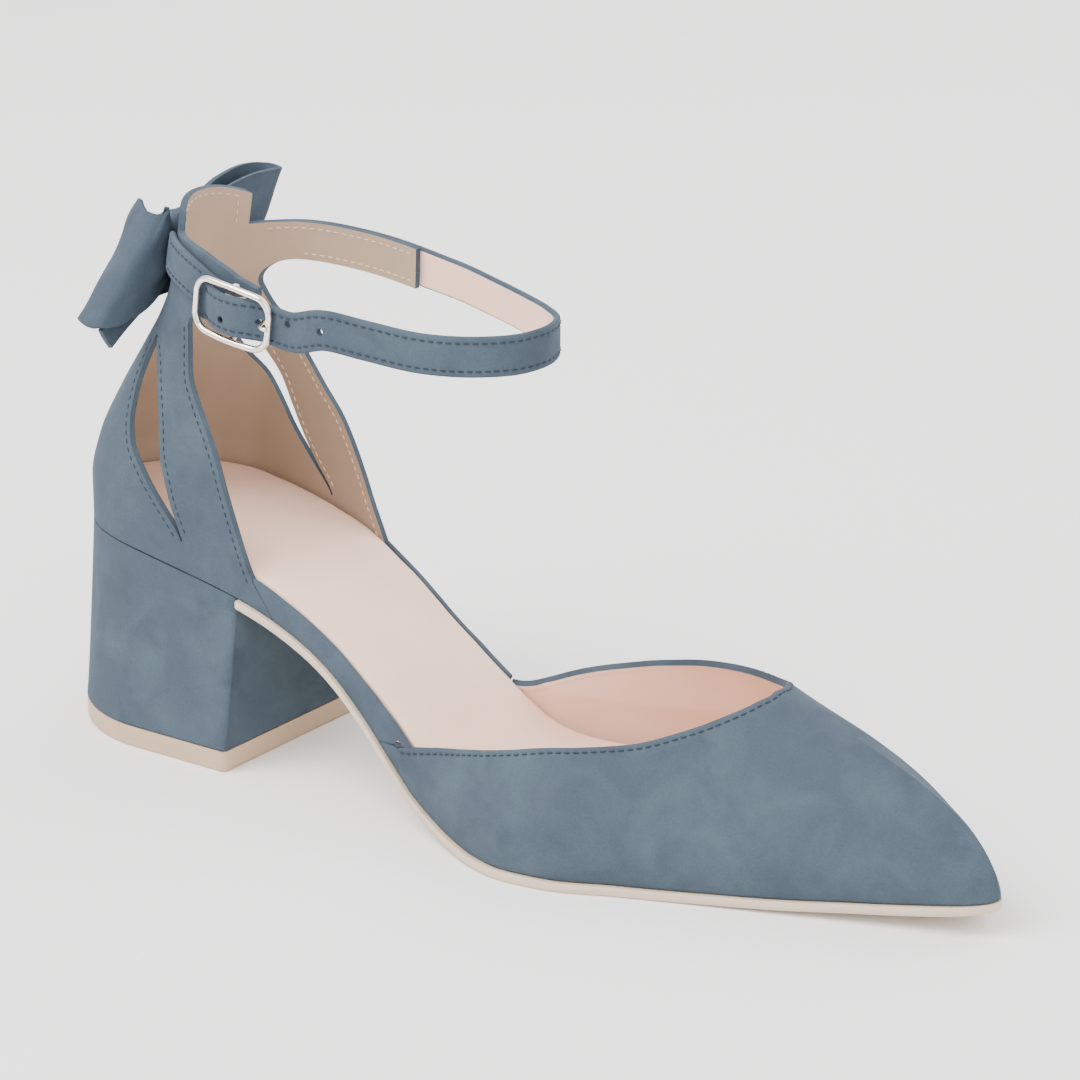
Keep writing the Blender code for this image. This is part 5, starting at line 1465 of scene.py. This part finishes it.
def make_buckle(s):
    """Buckle: a rounded rectangle of wire bowed outwards, its bar set in towards the ankle, and
    the prong hooked round the bar and lying over the front rail."""
    half_l = (s.buckle_length - s.buckle_wire) / 2
    half_h = (s.buckle_height - s.buckle_wire) / 2
    middle = half_h + s.buckle_bulge
    corners = ((1, 1, 0), (-1, 1, 90), (-1, -1, 180), (1, -1, 270))
    loop = []
    for sign_l, sign_h, first in corners:
        for degrees in np.linspace(0, 90, 13):
            turn = math.radians(first + degrees)
            loop.append(
                (
                    sign_l * (half_l - s.buckle_corner) + s.buckle_corner * math.cos(turn),
                    sign_h * (half_h - s.buckle_corner) + s.buckle_corner * math.sin(turn),
                )
            )
    loop = np.array(loop + loop[:1])
    length = np.concatenate([[0], np.cumsum(np.linalg.norm(np.diff(loop, axis=0), axis=1))])
    at = np.linspace(0, length[-1], 150)[:-1]
    points = []
    for run, up in zip(np.interp(at, length, loop[:, 0]), np.interp(at, length, loop[:, 1])):
        up *= 1 + s.buckle_bulge / half_h * max(0.0, 1 - (run / half_l) ** 2)
        points.append(on_buckle(s, run, frame_out(s, run), up))
    frame_piece = tube(s, "buckle_loop", points, s.buckle_wire / 2, 16, [look(METAL)], closed=True)
    place_piece(frame_piece, ["buckle_frame"])
    rail = frame_out(s, 0.0)
    leg = [(middle, rail), (middle, 0.45 * rail), (middle - 0.0003, 0.18 * rail), (middle - 0.0011, 0.0)]
    bar = [on_buckle(s, 0, out, up) for up, out in leg]
    bar += [on_buckle(s, 0, out, -up) for up, out in leg[::-1]]
    bar = smooth_path(bar, 40)
    place_piece(tube(s, "buckle_bar", bar, s.bar_wire / 2, 12, [look(METAL)]), [])
    hook = s.bar_wire / 2 + s.gap + s.prong_wire / 2
    path = []
    for degrees in (-50, -85, -120, -155, -190, -225, -255):
        turn = math.radians(degrees)
        path.append(on_buckle(s, hook * math.cos(turn), hook * math.sin(turn)))
    over = s.frame_front_out + s.buckle_wire / 2 + s.gap + s.prong_wire / 2
    hole = prong_hole(s)
    strap = s.frame_front_out - s.buckle_wire / 2 - s.gap - s.strap_thickness / 2
    for run, out in (
        (0.0008, hook - 0.0001),
        (0.0026, 0.0007),
        (0.0044, strap - 0.0010),
        (0.0060, strap - 0.0016),
        (hole - 0.0011, strap - 0.0016),
        (hole - 0.0003, strap - 0.0006),
        (hole + 0.0004, strap + 0.0009),
        (hole + 0.0013, over - 0.0008),
        (half_l, over),
        (half_l + 0.0010, over + 0.0001),
    ):
        path.append(on_buckle(s, run, out))
    path = smooth_path(path, 90)
    radius = np.full(len(path), s.prong_wire / 2)
    radius[-4:] *= (0.97, 0.88, 0.7, 0.4)
    place_piece(tube(s, "prong", path, radius, 12, [look(METAL)]), ["buckle_prong"])


def make_bow_loop(s, name, node, reach, slant, phase):
    """One bow loop: a ribbon that leaves the knot, turns at its tip and comes back behind
    itself, with folds that fan out of the knot and fade towards the tip."""
    side = math.copysign(1.0, reach[1])
    reach, fold = np.array(reach), unit(slant)
    centre = knot_centre(s) + np.array([0.0, side * 0.0012, 0.0])
    table = [(step, *row) for step, row in enumerate(LOOP_SHAPE)]
    at = np.linspace(0, len(table) - 1, 121)
    share, depth, width = (through(table, column, at) for column in (1, 2, 3))
    lean = np.clip((share - 0.22) * 1.4, 0, 1)[:, None]
    up = unit(np.array([0.0, 0.0, 1.0]) * (1 - lean) + fold * lean)
    face = np.cross(up, reach)
    face = unit(face) * np.sign(face[:, :1])
    middle = centre + reach * np.stack([share**2.5, share, share**1.5], axis=1)
    across = np.linspace(-1, 1, 41)[None, :]
    belly = s.ribbon_belly * (1 - across**2) * (np.sin(np.pi * share) ** 3)[:, None]
    fan = np.exp(-2.4 * share) * np.clip((share - 0.14) / 0.2, 0, 1)
    folds = 0.0014 * fan[:, None] * np.cos(2.3 * math.pi * across + phase + 2.0 * share[:, None])
    sag = 0.0005 * (np.sin(np.pi * share) ** 2)[:, None] * np.sin(1.5 * across + 2 * phase)
    way = np.clip(depth / 0.3, -1, 1)[:, None]
    out = depth[:, None] * s.loop_depth + way * (belly + folds + sag)
    half = across * width[:, None] * s.ribbon_width / 2
    grid = middle[:, None] + up[:, None] * half[..., None] + face[:, None] * out[..., None]
    faces = grid_faces(121, 41)
    loop = piece(name, grid, faces, [look(SUEDE)])
    wall(loop, s.ribbon_thickness, 0.0)
    return place_piece(bake(loop), [node])


def make_bow_tail(s, name, node, steps):
    """One flat tail with a slanted end and a slight curl across."""
    table = [(number, *first, *second) for number, (first, second) in enumerate(steps)]
    at = np.linspace(0, len(steps) - 1, 45)
    values = np.stack([through(table, column, at) for column in range(1, 7)], axis=1)
    first, second = values[:, None, :3], values[:, None, 3:]
    across = np.linspace(0, 1, 13)[None, :, None]
    grid = first + (second - first) * across
    grid[..., 0] -= 0.0003 * np.sin(math.pi * across[..., 0]) * (at / at[-1])[:, None]
    tail = piece(name, grid, grid_faces(45, 13), [look(SUEDE)])
    wall(tail, s.ribbon_thickness, 0.0)
    return place_piece(bake(tail), [node])


def make_knot(s):
    """Knot: a pleated band wrapped round the pinched middle of the bow, hollow where the loops
    enter."""
    centre = knot_centre(s)
    turn = np.arange(64) * math.pi / 32
    cosine, sine = np.cos(turn), np.sin(turn)
    rings = []

    def ring(level, inset, power, swell):
        px = np.sign(cosine) * np.abs(cosine) ** power
        pz = np.sign(sine) * np.abs(sine) ** power
        depth, height = s.knot_depth / 2 - inset, s.knot_height / 2 - inset
        y = np.full(64, level * s.knot_width / 2)
        rings.append(centre + np.column_stack([depth * px * swell, y, height * pz * swell]))

    for level in np.linspace(-1, 1, 33):
        round_off = 1 - 0.12 * abs(level) ** 6
        pleat = 1 - 0.045 * (0.5 + 0.5 * math.cos(4.0 * math.pi * level + 0.8))
        ring(level, 0.0, 0.7, round_off * pleat)
    for level in np.linspace(1, -1, 9):
        ring(level, s.knot_wall, 0.5, 1.0)
    rings.append(rings[0])
    knot = loft("bow_centre_knot", rings, [look(SUEDE)], capped=False)
    return place_piece(knot, ["bow_knot"])


def make_stage():
    """Paper sweep, soft studio light and the camera, in the photograph's direction."""
    size = 4.0
    corners = [(-size, -size, 0.0), (size, -size, 0.0), (size, size, 0.0), (-size, size, 0.0)]
    floor = piece("paper_sweep", corners, [(0, 1, 2, 3)], [floor_look()])
    if floor.data.polygons[0].normal.z < 0:
        floor.data.flip_normals()
    world = bpy.data.worlds.new("soft_studio")
    world.use_nodes = True
    sky = world.node_tree.nodes["Background"]
    sky.inputs["Color"].default_value = linear("FBFAF9")
    sky.inputs["Strength"].default_value = 1.55
    bpy.context.scene.world = world
    lamps = (
        ("key", (-0.55, -0.75, 1.25), 1.1, 36.0),
        ("fill", (1.10, -0.70, 0.80), 1.2, 11.0),
        ("back", (0.10, 1.20, 1.10), 1.2, 14.0),
    )
    target = Vector((0.09, 0.0, 0.05))
    for name, place, width, power in lamps:
        data = bpy.data.lights.new(name, "AREA")
        data.size = width
        data.energy = power
        lamp = bpy.data.objects.new(name, data)
        lamp.location = place
        lamp.rotation_euler = (target - Vector(place)).to_track_quat("-Z", "Y").to_euler()
        bpy.context.scene.collection.objects.link(lamp)
    azimuth, elevation, distance = math.radians(35.825), math.radians(19.908), 0.8956
    looked_at = Vector((0.09119, 0.0, 0.04725))
    back = Vector(
        (
            math.sin(azimuth) * math.cos(elevation),
            -math.cos(azimuth) * math.cos(elevation),
            math.sin(elevation),
        )
    )
    right = Vector((math.cos(azimuth), math.sin(azimuth), 0.0))
    up = back.cross(right)
    data = bpy.data.cameras.new("camera")
    data.lens = 130.3
    data.shift_x = 0.028
    data.shift_y = 0.0535
    data.clip_start, data.clip_end = 0.01, 50
    camera = bpy.data.objects.new("camera", data)
    camera.matrix_world = Matrix.Translation(looked_at + back * distance) @ Matrix(
        (
            (right.x, up.x, back.x, 0),
            (right.y, up.y, back.y, 0),
            (right.z, up.z, back.z, 0),
            (0, 0, 0, 1),
        )
    )
    bpy.context.scene.collection.objects.link(camera)
    bpy.context.scene.camera = camera


class SHOE_OT_sole(bpy.types.Operator):
    """Adds the outsole, the covered heel and its top lift"""

    bl_idname = "shoe.sole"
    bl_label = "Sole and heel"

    def execute(self, context):
        s = context.scene.shoe_sizes
        make_outsole(s)
        make_heel(s)
        make_lift(s)
        return {"FINISHED"}


class SHOE_OT_footbed(bpy.types.Operator):
    """Adds the footbed with its rand, and the padded sock"""

    bl_idname = "shoe.footbed"
    bl_label = "Footbed and sock"

    def execute(self, context):
        s = context.scene.shoe_sizes
        make_footbed(s)
        make_sock(s)
        return {"FINISHED"}


class SHOE_OT_vamp(bpy.types.Operator):
    """Adds the pointed vamp with its lining and topline seam"""

    bl_idname = "shoe.vamp"
    bl_label = "Vamp"

    def execute(self, context):
        make_vamp(context.scene.shoe_sizes)
        return {"FINISHED"}


class SHOE_OT_quarter(bpy.types.Operator):
    """Adds the heel counter, side straps and back tab with their lining and seams"""

    bl_idname = "shoe.quarter"
    bl_label = "Counter and side straps"

    def execute(self, context):
        make_quarter(context.scene.shoe_sizes)
        return {"FINISHED"}


class SHOE_OT_straps(bpy.types.Operator):
    """Adds the ankle strap and the buckle's strap with their seams and holes"""

    bl_idname = "shoe.straps"
    bl_label = "Straps"

    def execute(self, context):
        s = context.scene.shoe_sizes
        make_ankle_strap(s)
        make_buckle_strap(s)
        return {"FINISHED"}


class SHOE_OT_buckle(bpy.types.Operator):
    """Adds the buckle's loop, bar and prong"""

    bl_idname = "shoe.buckle"
    bl_label = "Buckle"

    def execute(self, context):
        make_buckle(context.scene.shoe_sizes)
        return {"FINISHED"}


class SHOE_OT_bow(bpy.types.Operator):
    """Adds the bow's two loops, two tails and knot"""

    bl_idname = "shoe.bow"
    bl_label = "Bow"

    def execute(self, context):
        s = context.scene.shoe_sizes
        make_bow_loop(s, "bow_wing_lateral", "bow_loop_lateral", *LATERAL_LOOP, 0.4)
        make_bow_loop(s, "bow_wing_medial", "bow_loop_medial", *MEDIAL_LOOP, 1.9)
        make_bow_tail(s, "bow_end_lateral", "bow_tail_lateral", LATERAL_TAIL)
        make_bow_tail(s, "bow_end_medial", "bow_tail_medial", MEDIAL_TAIL)
        make_knot(s)
        return {"FINISHED"}


class SHOE_OT_stage(bpy.types.Operator):
    """Adds the paper sweep, the studio light and the camera"""

    bl_idname = "shoe.stage"
    bl_label = "Stage"

    def execute(self, context):
        make_stage()
        return {"FINISHED"}


OPERATORS = (
    SHOE_OT_sole,
    SHOE_OT_footbed,
    SHOE_OT_vamp,
    SHOE_OT_quarter,
    SHOE_OT_straps,
    SHOE_OT_buckle,
    SHOE_OT_bow,
    SHOE_OT_stage,
)


class SHOE_PT_panel(bpy.types.Panel):
    """Lists the shoe's pieces, sizes and colours"""

    bl_idname = "SHOE_PT_panel"
    bl_label = "High heel shoe"
    bl_space_type = "VIEW_3D"
    bl_region_type = "UI"
    bl_category = "Shoe"

    def draw(self, context):
        for operator in OPERATORS:
            self.layout.operator(operator.bl_idname)
        for group in (context.scene.shoe_sizes, context.scene.shoe_colours):
            for name in group.__annotations__:
                self.layout.prop(group, name)


CLASSES = (ShoeSizes, ShoeColours, *OPERATORS, SHOE_PT_panel)


def register():
    """Registers the classes, and gives each scene its sizes and colours."""
    for kind in CLASSES:
        bpy.utils.register_class(kind)
    bpy.types.Scene.shoe_sizes = PointerProperty(type=ShoeSizes)
    bpy.types.Scene.shoe_colours = PointerProperty(type=ShoeColours)


def unregister():
    """Undoes register."""
    del bpy.types.Scene.shoe_colours
    del bpy.types.Scene.shoe_sizes
    for kind in reversed(CLASSES):
        bpy.utils.unregister_class(kind)


def main():
    """Builds the shoe and its stage."""
    register()
    bpy.ops.shoe.sole()
    bpy.ops.shoe.footbed()
    bpy.ops.shoe.vamp()
    bpy.ops.shoe.quarter()
    bpy.ops.shoe.straps()
    bpy.ops.shoe.buckle()
    bpy.ops.shoe.bow()
    bpy.ops.shoe.stage()


if __name__ == "__main__":
    main()
